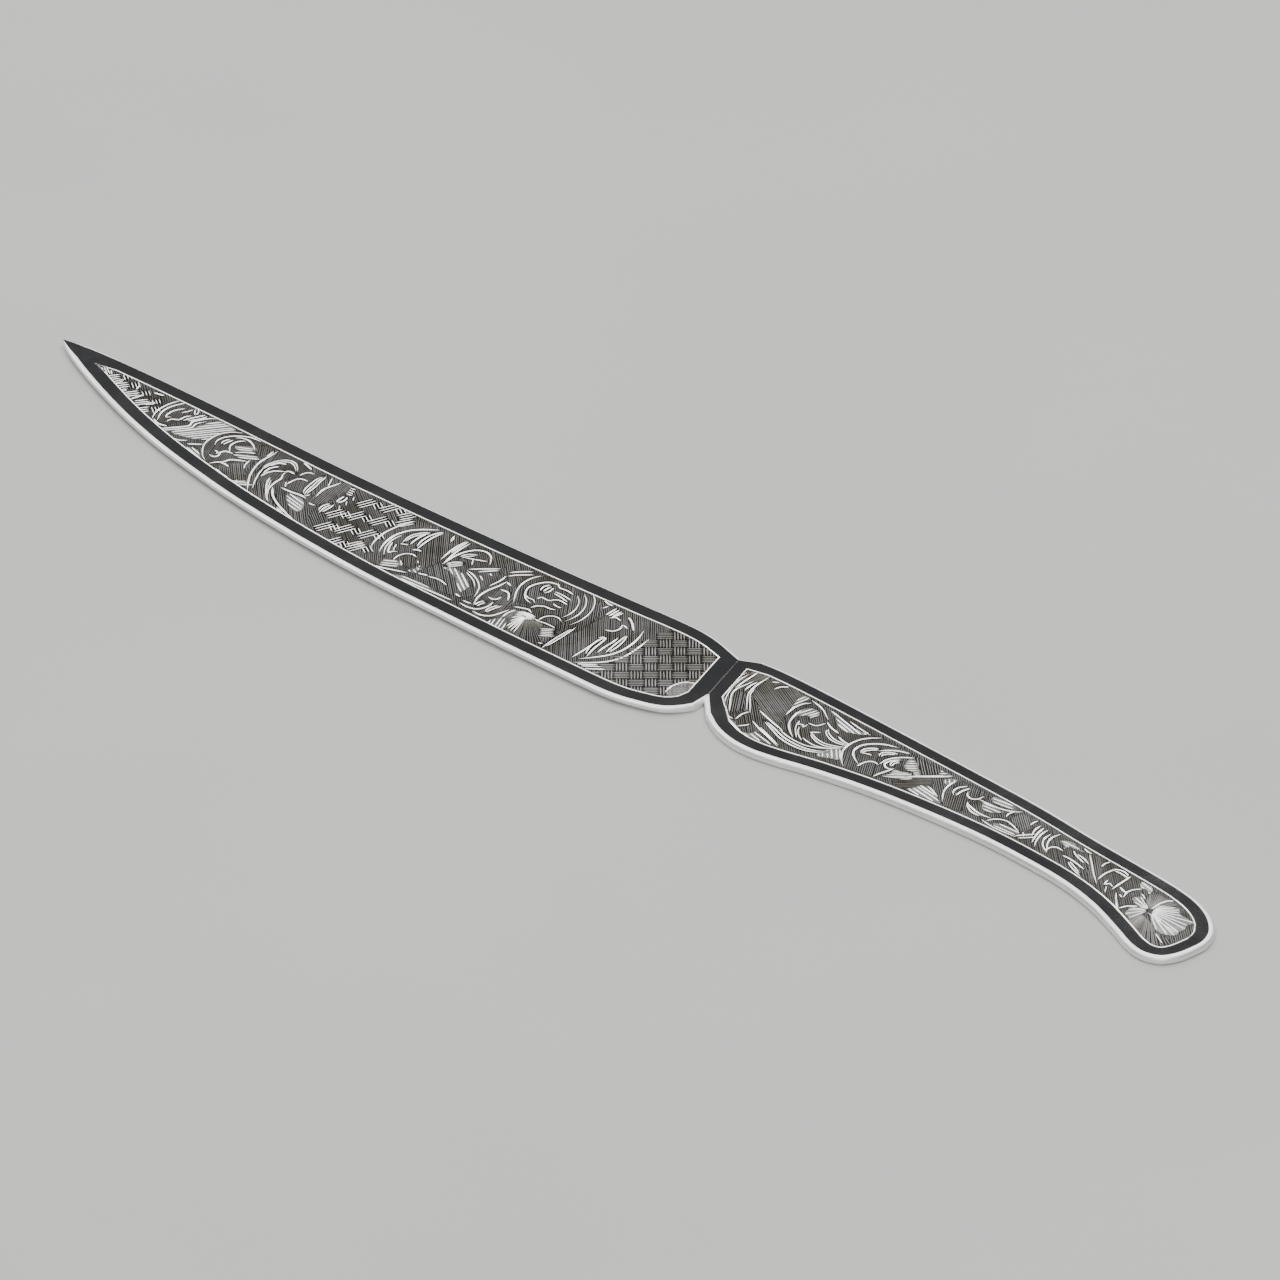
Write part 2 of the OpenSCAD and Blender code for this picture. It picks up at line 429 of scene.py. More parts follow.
class Engraving:
    """The cuts of one plate, in millimetres. A later finish lies over an earlier one."""

    def __init__(self):
        self.points = []
        self.depths = []
        self.faces = []
        self.finish = []
        self.fine = []

    def point(self, place, depth=0.0):
        self.points.append(Vector((place.x, place.y)))
        self.depths.append(depth)
        return len(self.points) - 1

    def face(self, corners, finish, fine=False):
        area = signed_area([self.points[c] for c in corners])
        if abs(area) > LEAST_AREA:
            self.faces.append(corners if area > 0 else corners[::-1])
            self.finish.append(finish)
            self.fine.append(fine)

    def area(self, outline, finish):
        """A flat face that only gives its finish."""
        self.face([self.point(p) for p in outline], finish)

    def stroke(self, line, width, depth, finish=CUT, tapers=(0.3, 0.3), fine=False):
        """A V groove along a line of points, narrowing at both ends over these shares of its length."""
        lengths = [0.0]
        for p, q in zip(line, line[1:]):
            lengths.append(lengths[-1] + (q - p).length)
        whole = lengths[-1]
        before = None
        for i, (p, far) in enumerate(zip(line, lengths)):
            side = left_of(line[min(i + 1, len(line) - 1)] - line[max(i - 1, 0)]).normalized()
            share = min(far / whole / tapers[0], (1 - far / whole) / tapers[1], 1)
            share = math.sin(math.pi / 2 * max(0, share))
            half = width / 2 * share
            if half < CLOSED:
                now = (self.point(p),) * 3
            else:
                deepest = math.copysign(half * BROAD_SHARE, side.dot(BROAD_SIDE))
                now = (self.point(p + side * half), self.point(p + side * deepest, depth * share),
                       self.point(p - side * half))
            if before:
                for a, b in ((0, 1), (1, 2)):
                    self.face([before[a], before[b], now[b]], finish, fine)
                    self.face([before[a], now[b], now[a]], finish, fine)
            before = now

    def straight(self, a, b, width, depth, finish=CUT, fine=True):
        """A straight cut, with short points at its ends, or a lozenge where it is short."""
        point = POINT_LENGTH / (b - a).length
        if point < LOZENGE:
            line = [a, a.lerp(b, point), b.lerp(a, point), b]
            self.stroke(line, width, depth, finish, (point, point), fine)
        else:
            self.stroke([a, a.lerp(b, 0.5), b], width, depth, finish, (0.5, 0.5), fine)


# Widths of the fine cuts in the ground and in bright patches, and the patches' pitch
HATCH_WIDTH = 0.12
PATCH_WIDTH = 0.26
PATCH_PITCH = 0.85
# A hatch in the ground runs on this far past its zone, and a stretch shorter than this gets none
OVERRUN = 0.22
SHORTEST = 0.4
# A leaf has one hair for about this much of its width, and a hair takes this share of its pitch.
# Its outline goes as a power of a sine, from just inside the sine's start to just inside its end
HAIR_PITCH = 0.8
HAIR_SHARE = 0.36
LEAF_POWER = 0.7
LEAF_END = 0.04
# Fills stop at this share of a cut's width to each side of its middle
TAKEN_SHARE = 0.4
# The shares of its length over which a cut narrows, at its start and its end
LINE_TAPERS = (0.22, 0.3)
LEAF_TAPERS = (0.15, 0.25)
# How much chance makes lengths in a bundle, and widths in a fill, smaller or larger
BUNDLE_CHANCE = (0.88, 1.06)
FILL_CHANCE = (0.75, 1.2)
# How far chance moves rows, rays and hairs, as shares of their pitch
ROW_WANDER = 0.16
RAY_WANDER = 0.2
HAIR_WANDER = 0.06
# Depths of cuts: the least, and the share of a cut's width that comes on top
LINE_DEPTH = (0.03, 0.2)
LEAF_DEPTH = (0.02, 0.18)
HATCH_DEPTH = (0.01, 0.2)


def depth_of(rule, width):
    least, share = rule
    return least + share * width


class Panel:
    """The ornament of one plate: zones, each over the ones before it, and single cuts over them all."""

    def __init__(self, seed):
        self.chance = random.Random(seed)
        self.zones = []
        self.cuts = []
        self.taken = []

    def zone(self, finish, places, fill=None, steps=3):
        """An outline of given places with a finish and a fill, which gives the lines to cut in it."""
        outline = [Vector(p) for p in places]
        if steps > 1:
            outline = curved(outline + outline[:1], steps)[:-1]
        self.zones.append((finish, circled(outline), fill))

    def ground(self, angle, pitch, *places, width=None):
        """A darkened zone, hatched at an angle."""
        self.zone(GROUND, places, self.rows(angle, pitch, width))

    def patch(self, angle, *places, pitch=PATCH_PITCH, width=None):
        """A bright zone with cuts at an angle."""
        self.zone(BRIGHT, places, self.rows(angle, pitch, width))

    def fan(self, finish, centre, turn, *places, width=None, steps=3):
        """A zone with cuts that spread from a centre."""
        self.zone(finish, places, self.rays(centre, turn, width), steps)

    def rows(self, angle, pitch, width=None):
        """Parallel rows across an outline, at an angle in degrees."""
        def lines(outline):
            along = direction(angle)
            across = left_of(along)
            offsets = [p.dot(across) for p in outline]
            place = min(offsets) + pitch / 2
            while place < max(offsets):
                move = self.chance.uniform(-ROW_WANDER, ROW_WANDER) * pitch
                yield across * (place + move), along, width
                place += pitch
        return lines

    def rays(self, centre, turn, width=None):
        """Rays from a centre, this many degrees apart."""
        def lines(outline):
            angle = 0.0
            while angle < 180:
                move = self.chance.uniform(-RAY_WANDER, RAY_WANDER) * turn
                yield Vector(centre), direction(angle + move), width
                angle += turn
        return lines

    def leaf(self, width, *places):
        """Bright cuts side by side along a curve, which meet at its two ends."""
        spine = curved(places)
        count = len(spine) - 1
        left, right = [], []
        for i, p in enumerate(spine):
            side = left_of(spine[min(i + 1, count)] - spine[max(i - 1, 0)]).normalized()
            share = LEAF_END + (1 - 2 * LEAF_END) * i / count
            half = width / 2 * math.sin(math.pi * share) ** LEAF_POWER
            left.append(p + side * half)
            right.append(p - side * half)
        self.taken.append(circled(left + right[::-1]))
        hairs = max(1, round(width / HAIR_PITCH))
        wide = width / hairs * HAIR_SHARE

        def cut(work):
            for k in range(hairs):
                share = (k + 0.5) / hairs + self.chance.uniform(-HAIR_WANDER, HAIR_WANDER) / hairs
                hair = [p.lerp(q, share) for p, q in zip(left, right)]
                first, last = (self.chance.randrange(2) for end in range(2)) if hairs > 1 else (0, 0)
                work.stroke(hair[first:len(hair) - last], wide, depth_of(LEAF_DEPTH, wide), BRIGHT,
                            LEAF_TAPERS)
        self.cuts.append(cut)

    def take(self, spine, width):
        """Keeps the fills out of the way of a cut."""
        ends = [spine[1] - spine[0]] + [b - a for a, b in zip(spine, spine[2:])] + [spine[-1] - spine[-2]]
        sides = [left_of(end).normalized() * width * TAKEN_SHARE for end in ends]
        self.taken.append(circled([p + side for p, side in zip(spine, sides)]
                                  + [p - side for p, side in zip(spine, sides)][::-1]))

    def line(self, width, *places):
        """One cut along a curve."""
        spine = curved(places, 3)
        self.take(spine, width)
        depth = depth_of(LINE_DEPTH, width)
        self.cuts.append(lambda work: work.stroke(spine, width, depth, CUT, LINE_TAPERS))

    def bundle(self, centre, angle, length, count, pitch, width, finish=CUT):
        """Parallel cuts side by side."""
        along = direction(angle)
        centre = Vector(centre)
        self.take([centre - along * length / 2, centre + along * length / 2], count * pitch)

        def cut(work):
            for k in range(count):
                middle = centre + left_of(along) * (k - (count - 1) / 2) * pitch
                half = length / 2 * self.chance.uniform(*BUNDLE_CHANCE)
                work.straight(middle - along * half, middle + along * half, width,
                              depth_of(LINE_DEPTH, width), finish, fine=False)
        self.cuts.append(cut)

    def engrave(self, work):
        """Every zone and its fill, which stops at later zones and single cuts, and then these cuts."""
        for finish, ring, _ in self.zones:
            work.area(ring.outline, finish)
        for number, (finish, ring, fill) in enumerate(self.zones):
            if fill is None:
                continue
            over = [zone[1] for zone in self.zones[number + 1:]] + self.taken
            near = [other for other in over
                    if (other.middle - ring.middle).length < other.reach + ring.reach]
            for start, along, width in fill(ring.outline):
                kept = spans(ring.outline, start, along)
                for other in near:
                    kept = without(kept, crossings(other, start, along))
                for low, high in kept:
                    if high - low > SHORTEST:
                        wide = width or (PATCH_WIDTH if finish == BRIGHT else HATCH_WIDTH)
                        wide *= self.chance.uniform(*FILL_CHANCE)
                        past = OVERRUN if finish == GROUND else 0
                        work.straight(start + along * (low - past), start + along * (high + past),
                                      wide, depth_of(HATCH_DEPTH, wide), finish)
        for cut in self.cuts:
            cut(work)


# Plates

# Steps over the rim's round, and between two points of a CAD outline
RIM_STEPS = 8
OUTLINE_STEPS = 3
PANEL_LINE_DEPTH = 0.08
# The line's deepest place is off its middle by at most this share of its width
PANEL_LINE_SHIFT = 0.15
# Faces that meet at more than this angle meet in a sharp edge
SHARP = math.radians(22)
# Points nearer than this are one, and a triangle may miss a point by this doubled area
SAME_POINT = 1e-5
ALMOST = 2e-5


def holds(triangle, p):
    """Whether a counterclockwise triangle holds a point, or almost."""
    return all((b - a).cross(p - a) > -ALMOST for a, b in zip(triangle, triangle[1:] + triangle[:1]))


def plane_of(corners, depths):
    """The slopes and offset of the plane through three depths, and the deepest of them."""
    (p, q, r), (d, e, f) = corners, depths
    u, v = q - p, r - p
    scale = u.x * v.y - u.y * v.x
    slope_x = ((e - d) * v.y - (f - d) * u.y) / scale
    slope_y = ((f - d) * u.x - (e - d) * v.x) / scale
    return slope_x, slope_y, d - slope_x * p.x - slope_y * p.y, max(depths)


def panel_line(outer, middle, inner):
    """The line round a panel, as a cut whose wall that faces the photograph's camera has the bright cut
    finish, and whose other wall has painted shade: the dark ground finish.
    """
    work = Engraving()
    numbers = [[work.point(p, d) for p in ring]
               for ring, d in ((outer, 0), (middle, PANEL_LINE_DEPTH), (inner, 0))]
    for wall, (a, b) in enumerate(zip(numbers, numbers[1:])):
        for i in range(len(a)):
            j = (i + 1) % len(a)
            # Painted shade: the wall turned away from the photograph's camera gets the dark ground finish
            # instead of bright cut silver
            towards = (inner[i] - outer[i]).dot(BROAD_SIDE) > 0
            kind = CUT if towards == (wall == 0) else GROUND
            work.face([a[i], a[j], b[j]], kind)
            work.face([a[i], b[j], b[i]], kind)
    return work


def engraved_panel(outer, inner, work):
    """The panel and the line round it as triangles: points, their depths, and each triangle's finish."""
    middle = [p.lerp(q, 0.5 - PANEL_LINE_SHIFT * (q - p).normalized().dot(BROAD_SIDE))
              for p, q in zip(outer, inner)]
    line = panel_line(outer, middle, inner)
    count = len(outer)
    points = line.points + work.points
    faces = [list(range(count)), list(range(2 * count, 3 * count))]
    whole, panel = 0, 1
    flat = (0, 0, 0, 0)
    finish = [CUT, GROUND]
    fine, planes, shapes = [False] * 2, [flat] * 2, [None] * 2
    for source, base in ((work, 3 * count), (line, 0)):
        for corners, kind, thin in zip(source.faces, source.finish, source.fine):
            faces.append([c + base for c in corners])
            finish.append(kind)
            fine.append(thin)
            shape = [source.points[c] for c in corners] if len(corners) == 3 else None
            shapes.append(shape)
            planes.append(plane_of(shape, [source.depths[c] for c in corners]) if shape else flat)
    first_line = len(faces) - len(line.faces)
    made, _, triangles, _, _, sources = delaunay_2d_cdt(points, [], faces, 1, SAME_POINT, True)
    broad_depth = [0.0] * len(made)
    fine_depth = [0.0] * len(made)
    kept, kinds = [], []
    # The triangulation can name a cut that lies elsewhere, so a cut counts only where it holds the middle
    for corners, cover in zip(triangles, sources):
        centre = (made[corners[0]] + made[corners[1]] + made[corners[2]]) / 3
        cuts = [c for c in cover if (panel in cover and c > panel or c >= first_line)
                and (shapes[c] is None or holds(shapes[c], centre))]
        if whole not in cover or panel not in cover and not cuts and not lies_in(outer, centre):
            continue
        shown = [c for c in cuts if not fine[c] or finish[c] != BRIGHT]
        kept.append(corners)
        kinds.append(finish[max(shown)] if shown else GROUND)
        for v in corners:
            p = made[v]
            for c in cuts:
                a, b, d, most = planes[c]
                depths = fine_depth if fine[c] else broad_depth
                depths[v] = max(depths[v], min(a * p.x + b * p.y + d, most))
    return made, [a + b for a, b in zip(broad_depth, fine_depth)], kept, kinds


def border(rim, made, panel):
    """The plain border as triangles, whose points are the rim's and then the panel's."""
    seam = max(edge_numbers(panel), key=len)
    count = len(rim)
    numbers = list(range(count)) + [v + count for v in seam]
    faces = [list(range(count)), list(range(count, len(numbers)))]
    whole, within = 0, 1
    _, _, triangles, origins, _, sources = delaunay_2d_cdt(
        rim + [made[v] for v in seam], [], faces, 1, SAME_POINT, True)
    return [tuple(numbers[origins[v][0]] for v in corners) for corners, cover in zip(triangles, sources)
            if whole in cover and within not in cover]


def plate(name, work):
    """One plate of the knife as a closed mesh: CAD outline, rounded rim, panel line and every cut in it."""
    rings = {key: smooth(loop, OUTLINE_STEPS) for key, loop in plate_rings(name).items()}
    vertices, faces, finish = [], [], []

    def add_ring(points):
        start = len(vertices)
        vertices.extend(points)
        return list(range(start, start + len(points)))

    layers = [add_ring(rings[key]) for key in ("bottom", "foot", "head")]
    for k in range(1, RIM_STEPS + 1):
        turn = math.pi / 2 * k / RIM_STEPS
        ring = []
        for low, high in zip(rings["head"], rings["rim"]):
            p = low.lerp(high, 1 - math.cos(turn))
            p.z = low.z + (high.z - low.z) * math.sin(turn)
            ring.append(p)
        layers.append(add_ring(ring))
    for lower, upper in zip(layers, layers[1:]):
        for i in range(len(lower)):
            j = (i + 1) % len(lower)
            faces.append((lower[i], lower[j], upper[j], upper[i]))
            finish.append(FILED)
    faces.append(tuple(reversed(layers[0])))
    finish.append(POLISHED)

    top = rings["rim"][0].z
    rim, outer, inner = ([Vector((p.x, p.y)) for p in rings[key]]
                         for key in ("rim", "line_outer", "line_inner"))
    made, depths, panel, kinds = engraved_panel(outer, inner, work)
    numbers = dict(enumerate(layers[-1]))
    count = len(rim)
    panel_faces = [tuple(v + count for v in corners) for corners in panel]
    border_faces = border(rim, made, panel)
    for corners, kind in zip(panel_faces + border_faces, kinds + [POLISHED] * len(border_faces)):
        for v in corners:
            if v not in numbers:
                numbers[v] = len(vertices)
                p = made[v - count]
                vertices.append(Vector((p.x, p.y, top - depths[v - count])))
        faces.append(tuple(numbers[v] for v in corners))
        finish.append(kind)

    mesh = bpy.data.meshes.new(name + "_plate")
    mesh.from_pydata([v * MM for v in vertices], [], faces)
    mesh.polygons.foreach_set("material_index", finish)
    mesh.update()
    # Setting the sharp edges makes every face smooth, so the flat ones come after it
    mesh.set_sharp_from_angle(angle=SHARP)
    mesh.polygons.foreach_set("use_smooth", [kind == FILED for kind in finish])
    piece = bpy.data.objects.new(name + "_plate", mesh)
    bpy.context.scene.collection.objects.link(piece)
    return piece


# Motifs of the blade, from the tip to the heel, in millimetres of the row frame

def weave(panel, steps_a, steps_b, origin, a, b, bright, dark):
    """Basket weave on a lattice: a bundle of bright cuts at each place, and a thinner one between two."""
    for i in steps_a:
        for j in steps_b:
            centre = Vector(origin) + Vector(a) * i + Vector(b) * j
            panel.bundle(centre, *bright)
            panel.bundle(centre + Vector(a) / 2, *dark)


def blade_tip(p):
    p.ground(-35, 0.5, (-149, 1.5), (-126.5, 3.6), (-125.4, 0), (-125.8, -4), (-126.5, -7), (-140, -6),
             (-149, -1))
    p.bundle((-144.3, 0.1), -28, 3.4, 3, 0.5, 0.21)
    for x, y in ((-141.2, -0.6), (-137.6, -1.6), (-133.6, -2.4), (-129.6, -3.2), (-127.4, -5.4)):
        p.bundle((x, y), 58, 3.4, 3, 0.8, 0.26)
        p.bundle((x + 2, y + 2.2), -32, 2.4, 3, 0.7, 0.2)
    p.leaf(1.5, (-138.7, 0.6), (-139.3, -1.6), (-139.6, -3.2))
    p.leaf(1.3, (-135.6, -1.9), (-136, -3), (-136.3, -4.2))
    p.leaf(1.2, (-131.5, -1), (-131.9, -2.7), (-132.2, -4.2))
    p.leaf(1.3, (-127.2, -1.1), (-128, -2.4), (-128.9, -3.7))
    p.leaf(1.0, (-134.9, 1.1), (-134.5, 0.2), (-134.1, -0.6))
    p.leaf(0.9, (-143.5, 1), (-143, 0.5), (-142.4, 0.1))
    p.leaf(1.1, (-130.6, 1.2), (-129.4, 1.5), (-128.3, 1.8))


def blade_small_scroll(p):
    p.ground(-62, 0.5, (-125.2, 3.4), (-119, 3.5), (-119, -2), (-120, -7.5), (-125.5, -6.8), (-126, -2))
    p.line(0.3, (-124.3, 3.2), (-125.1, 0), (-124.8, -3.5), (-123.2, -6.4))
    p.line(0.33, (-122.8, 3.2), (-124, 0), (-123.8, -3), (-122, -6))
    p.line(0.3, (-121.3, 1.4), (-122.3, -0.5), (-122.4, -2.3), (-121.8, -3.7), (-120.9, -2.9))
    p.line(0.27, (-119.8, 2.2), (-120.2, 0.8), (-120.7, -0.4))
    p.line(0.33, (-118.2, 0.4), (-119, -1), (-119, -2.5), (-120.3, -3.6), (-120.4, -4.9))
    p.leaf(2.0, (-115.9, 3), (-116.6, 0.8), (-118.1, -2.4))
    p.leaf(1.5, (-119.7, 3), (-118.8, 2.2), (-118, 1))
    p.leaf(1.1, (-123, -6), (-121, -6.6), (-118.9, -6))
    p.line(0.4, (-119.4, -7.9), (-117.2, -5), (-115.8, -2.7), (-116.4, -1), (-115, 2), (-113.4, 3.3))
    p.line(0.3, (-118.6, -8.1), (-116.4, -5.2), (-114.9, -2.9), (-115.3, -1.2), (-114.4, 1))
    p.patch(56, (-113.8, 1), (-112.3, 3), (-108.5, 3.1), (-107.6, 2.4), (-108.8, 0), (-108.8, -3.8),
            (-110.5, -5), (-112, -6), (-116.6, -7.2), (-115.3, -4.5), (-114.3, -2))
    p.line(0.3, (-115, -8.7), (-113, -8), (-111.7, -6.9))
    p.line(0.37, (-110.9, -7.9), (-109.6, -6.9), (-108.3, -5.7))
    p.patch(-12, (-110.3, -9), (-108.6, -7.9), (-106.6, -8.5), (-104.9, -9.9), (-107.5, -9.8))


def blade_scroll_1(p):
    p.ground(-64, 0.48, (-107, 3.2), (-109, 0), (-108.6, -5), (-103.5, -9.8), (-100, -8), (-98, -3),
             (-98, 2.5))
    p.line(0.27, (-105.6, 3.2), (-107.8, 1.6), (-108.9, -0.6), (-108.9, -3.5), (-107.9, -6),
           (-105.5, -8.6), (-103.3, -9.8))
    p.line(0.3, (-100.6, 3.4), (-103.5, 3), (-106, 1.2), (-107.2, -0.6), (-107.4, -2.6), (-106.4, -4.3))
    p.line(0.3, (-99.3, 0.2), (-100.6, 1.2), (-102.6, 1.9), (-104.4, 1.6), (-105.6, 0.6))
    p.line(0.3, (-103, 1.4), (-104.1, 0), (-104.1, -1.8), (-103.2, -3.1), (-102.2, -4))
    p.leaf(1.7, (-105.3, -0.1), (-105.8, -1.8), (-105.5, -3.3))
    p.patch(32, (-103.3, -1.5), (-101.6, 0), (-99.8, 1), (-98.9, 0.3), (-99.6, -1), (-101, -2),
            (-102.4, -2.2))
    p.leaf(0.9, (-98, -0.6), (-99.6, -1.6), (-101.4, -3.4))
    p.patch(34, (-97.2, -1.1), (-95.8, -1.7), (-97.4, -3.3), (-99.5, -4.2), (-101.3, -4.1), (-99.6, -2.7))
    p.line(0.37, (-101.4, -3.9), (-103, -4.3), (-103.5, -5.4), (-102.9, -6.5), (-103.3, -7.5),
           (-104.7, -7.6))
    p.line(0.25, (-105, -5.6), (-104, -5.7), (-103.8, -6.4))
    p.line(0.37, (-97, -4), (-98.6, -4.9), (-100, -6), (-100.4, -7.6), (-101.4, -8.8), (-102.1, -10.1))
    p.line(0.3, (-100.5, -8.2), (-99.6, -7.9), (-98.2, -8))
    p.line(0.25, (-96.9, -3.2), (-96.5, -4.8), (-95.4, -6.5))
    p.ground(-40, 0.42, (-97.5, -5), (-95.6, -3.5), (-94, -7.5), (-91.3, -10.6), (-94, -11.6),
             (-98, -11.2), (-100.5, -10), (-99.5, -7.5), width=0.14)
    p.leaf(0.9, (-99.5, -10.4), (-97.5, -10.9), (-95.2, -11.1))
    for shift in (0, 0.9, 1.9):
        p.line(0.23, (-94 + shift, -11.7), (-92.4 + shift, -10.4), (-91.4 + shift, -9.3))
    p.line(0.2, (-93.4, -10.2), (-92.5, -11.5))


def blade_scroll_2(p):
    p.ground(-50, 0.45, (-98.5, 3.4), (-95.6, 3.5), (-95.3, 0), (-96.4, -1), (-98.4, 0.2), (-99.6, 1.6))
    p.line(0.35, (-95.4, 3.4), (-95.2, 1), (-95.1, -1.6), (-94.3, -4.2), (-92.4, -7.6), (-90, -10.4),
           (-88.4, -12))
    p.line(0.23, (-96, 2.6), (-95.8, 1.4), (-95.5, 0))
    p.ground(-68, 0.5, (-94.8, 3.6), (-87, 3.8), (-85.3, 0), (-86.5, -4), (-89.5, -8), (-93, -5),
             (-94.7, -1))
    p.leaf(1.3, (-92.7, -4.2), (-92.9, -1.4), (-92, 1.2), (-90.4, 2.3), (-88.6, 1.8), (-86.2, -0.1))
    p.line(0.27, (-92.7, -3.5), (-91.8, -5.6), (-90.5, -7.8), (-88.6, -10.4))
    p.leaf(0.9, (-90.4, 1), (-92, 0), (-92.4, -1.8))
    p.leaf(1.0, (-90.9, -0.7), (-91.8, -2.5), (-91.4, -4.8))
    p.line(0.33, (-90.9, -6), (-90.9, -4.2), (-90.3, -2.6), (-89.2, -1.7), (-88.3, -1.1))
    p.leaf(0.9, (-88.5, -1.3), (-88, -0.6), (-86.5, -0.5))
    p.line(0.33, (-88.3, -1.2), (-88, -2.5), (-87.2, -3.6), (-87, -5.5), (-86.4, -7.5), (-85, -9.8),
           (-82.4, -11.8))
    p.leaf(1.0, (-89, -5), (-88, -6.8), (-86, -9), (-83, -11.6))
    p.line(0.2, (-88.3, -5.4), (-86.6, -7.8), (-84.6, -9.8))
    p.leaf(1.2, (-86, -7.2), (-83.5, -9.5), (-80, -11.2), (-76, -12.3))
    p.leaf(1.3, (-80, -11.8), (-76.5, -12.6), (-73.6, -13.1))
    p.line(0.3, (-84.8, -4.4), (-84.9, -2.6), (-84.6, -1.3), (-83.7, -0.7), (-82.5, -0.6))
    p.line(0.25, (-85.6, -4), (-85.2, -4.2), (-84.2, -5.3))
    p.line(0.25, (-85.4, -0.1), (-85.3, 1.2), (-84.7, 2), (-83.6, 2.4))
    p.leaf(1.1, (-88.4, 3.9), (-86.8, 3.5), (-85.2, 3.1))
    p.ground(20, 0.45, (-84.6, 2), (-82, 3.9), (-81.8, 0.2), (-84.3, -0.6))
    p.ground(-55, 0.36, (-84.6, -1.6), (-82, -0.8), (-80.4, -3), (-79.8, -4.6), (-84, -5.4))
    p.leaf(2.2, (-81.4, 3.4), (-81.2, 1.2), (-80.6, -1), (-80, -3.2), (-79.2, -4.8))
    for shift in (0, 0.7, 1.4):
        p.line(0.2, (-79.9 + shift * 0.6, 3.8 - shift), (-79 + shift * 0.6, 2.4 - shift))
    p.line(0.35, (-77.3, 4), (-77.6, 2), (-78, 0), (-77.6, -2), (-77, -3.6))
    p.line(0.4, (-84.8, -6.1), (-82, -5.8), (-79.6, -5.3), (-77.9, -5.4))
    p.line(0.27, (-78.4, -3.8), (-78.9, -5))
    p.line(0.25, (-76.4, -6.1), (-75.6, -6.2), (-74.8, -6))
    p.patch(-8, (-82.4, -6.7), (-79, -6), (-76.6, -7.2), (-75.2, -9.8), (-77.5, -10.2), (-80.4, -8.6),
            width=0.24)
    p.ground(-74, 0.45, (-77.2, 4.4), (-74.6, 4.6), (-73.8, 0), (-74.5, -5.6), (-77.6, -5.4), (-77.4, 0))


def blade_middle(p):
    p.ground(-32, 0.44, (-74.4, 4.8), (-56.8, 5.7), (-57.2, 0), (-56.6, -6), (-55.4, -14), (-68, -14),
             (-73.6, -8), (-74, -2))
    bright = (72, 4.5, 3, 0.87, 0.18)
    dark = (-28, 2.6, 3, 0.8, 0.17)
    weave(p, (0, 1), (-1, 0, 1, 2), (-65.9, -3), (4.7, 1.9), (1.95, -5), bright, dark)
    weave(p, (-1,), (0, 1), (-65.9, -3), (3.6, 2.2), (1.95, -5), bright, dark)
    for x, y in ((-58.6, 4.2), (-56.8, 2.2), (-57.9, -10.6)):
        p.bundle((x, y), 66, 3.8, 3, 0.87, 0.2)
    p.leaf(2.0, (-72.8, 1.1), (-72.4, -0.4), (-72.4, -2))
    p.leaf(2.3, (-72.4, -3), (-72.7, -5), (-72.2, -7.3))
    for shift in (0, 0.7, 1.4, 2.1):
        p.line(0.21, (-74.6 + shift * 0.5, 3.8 - shift), (-73.1 + shift * 0.5, 4 - shift))
    for shift in (0, 2.2, 4.4):
        p.line(0.2, (-71.6 + shift * 0.1, 2 - shift), (-70.4 + shift * 0.1, 0.6 - shift))


def blade_scroll_3(p):
    p.ground(-47, 0.4, (-57, 5), (-50, 6), (-43, 6.6), (-41.4, 0), (-40.6, -8), (-44, -13.4), (-55, -13.6),
             (-56.8, -6))
    p.line(0.43, (-49.8, 5.4), (-52.3, 3.2), (-53.9, 1.2), (-54.6, -0.6), (-54.9, -2.6), (-54.5, -5),
           (-53.6, -7.4), (-52.4, -9.4))
    p.line(0.23, (-53.9, -1.2), (-54, -4), (-52.9, -7), (-51, -9.4))
    p.line(0.35, (-55.8, 4.2), (-56.8, 1.2), (-57.1, -1.6), (-57, -4), (-56.2, -7), (-54.9, -9.4))
    p.leaf(1.5, (-50, 3.7), (-51.5, 1.6), (-52.2, -0.6), (-51.7, -3.4))
    p.leaf(0.8, (-51.8, -3.9), (-51.1, -3.5), (-50.3, -3.1))
    p.leaf(1.0, (-50.7, 2.6), (-50.8, 0), (-50.2, -2.8))
    p.leaf(1.9, (-48.7, 5.3), (-49.3, 2.6), (-49, -0.4), (-48.1, -3))
    p.leaf(1.0, (-48.4, -3.8), (-47.8, -3.2), (-46.7, -2.9))
    p.line(0.35, (-53.3, -4.6), (-52.5, -6.3), (-51.2, -7.9), (-50.8, -7.1), (-50, -6.4))
    p.line(0.23, (-52.2, -4.6), (-51.6, -5.8), (-50.8, -6.9))
    p.ground(-47, 0.4, (-47.8, -5.7), (-45.6, -5.6), (-43.8, -7.6), (-44.4, -9.4), (-46, -8.8),
             (-47.8, -8))
    p.leaf(0.8, (-45.8, -5.1), (-47.3, -5.1), (-48.4, -6), (-48.8, -7.6), (-48.3, -9.4))
    p.patch(36, (-50, -10.2), (-48.5, -9.4), (-47, -8.9), (-45.8, -9.6), (-46.3, -11), (-47.8, -11.8),
            (-49, -12.5), (-49.6, -11.3))
    p.leaf(0.8, (-47.2, -8.4), (-46.3, -8.9), (-45.6, -9.6))
    p.patch(-20, (-43.1, -7), (-41.8, -7.7), (-39.3, -8.8), (-41.5, -9.6), (-43.4, -10.1), (-43, -8.5))
    p.line(0.25, (-44.6, -6), (-43.8, -6.6))
    p.leaf(1.0, (-50, -13.7), (-46.4, -12.2), (-42.9, -10.6))
    for x in (-43, -41.8):
        p.line(0.3, (x, 6.2), (x + 0.1, 3), (x + 0.7, 0), (x + 1.4, -2.6))
    p.leaf(1.0, (-42.6, 6.3), (-42.4, 3.4), (-42, 0.8))
    for shift in (0, 0.5):
        p.line(0.2, (-46.2 + shift, 6 - shift), (-45.5 + shift, 4 - shift))


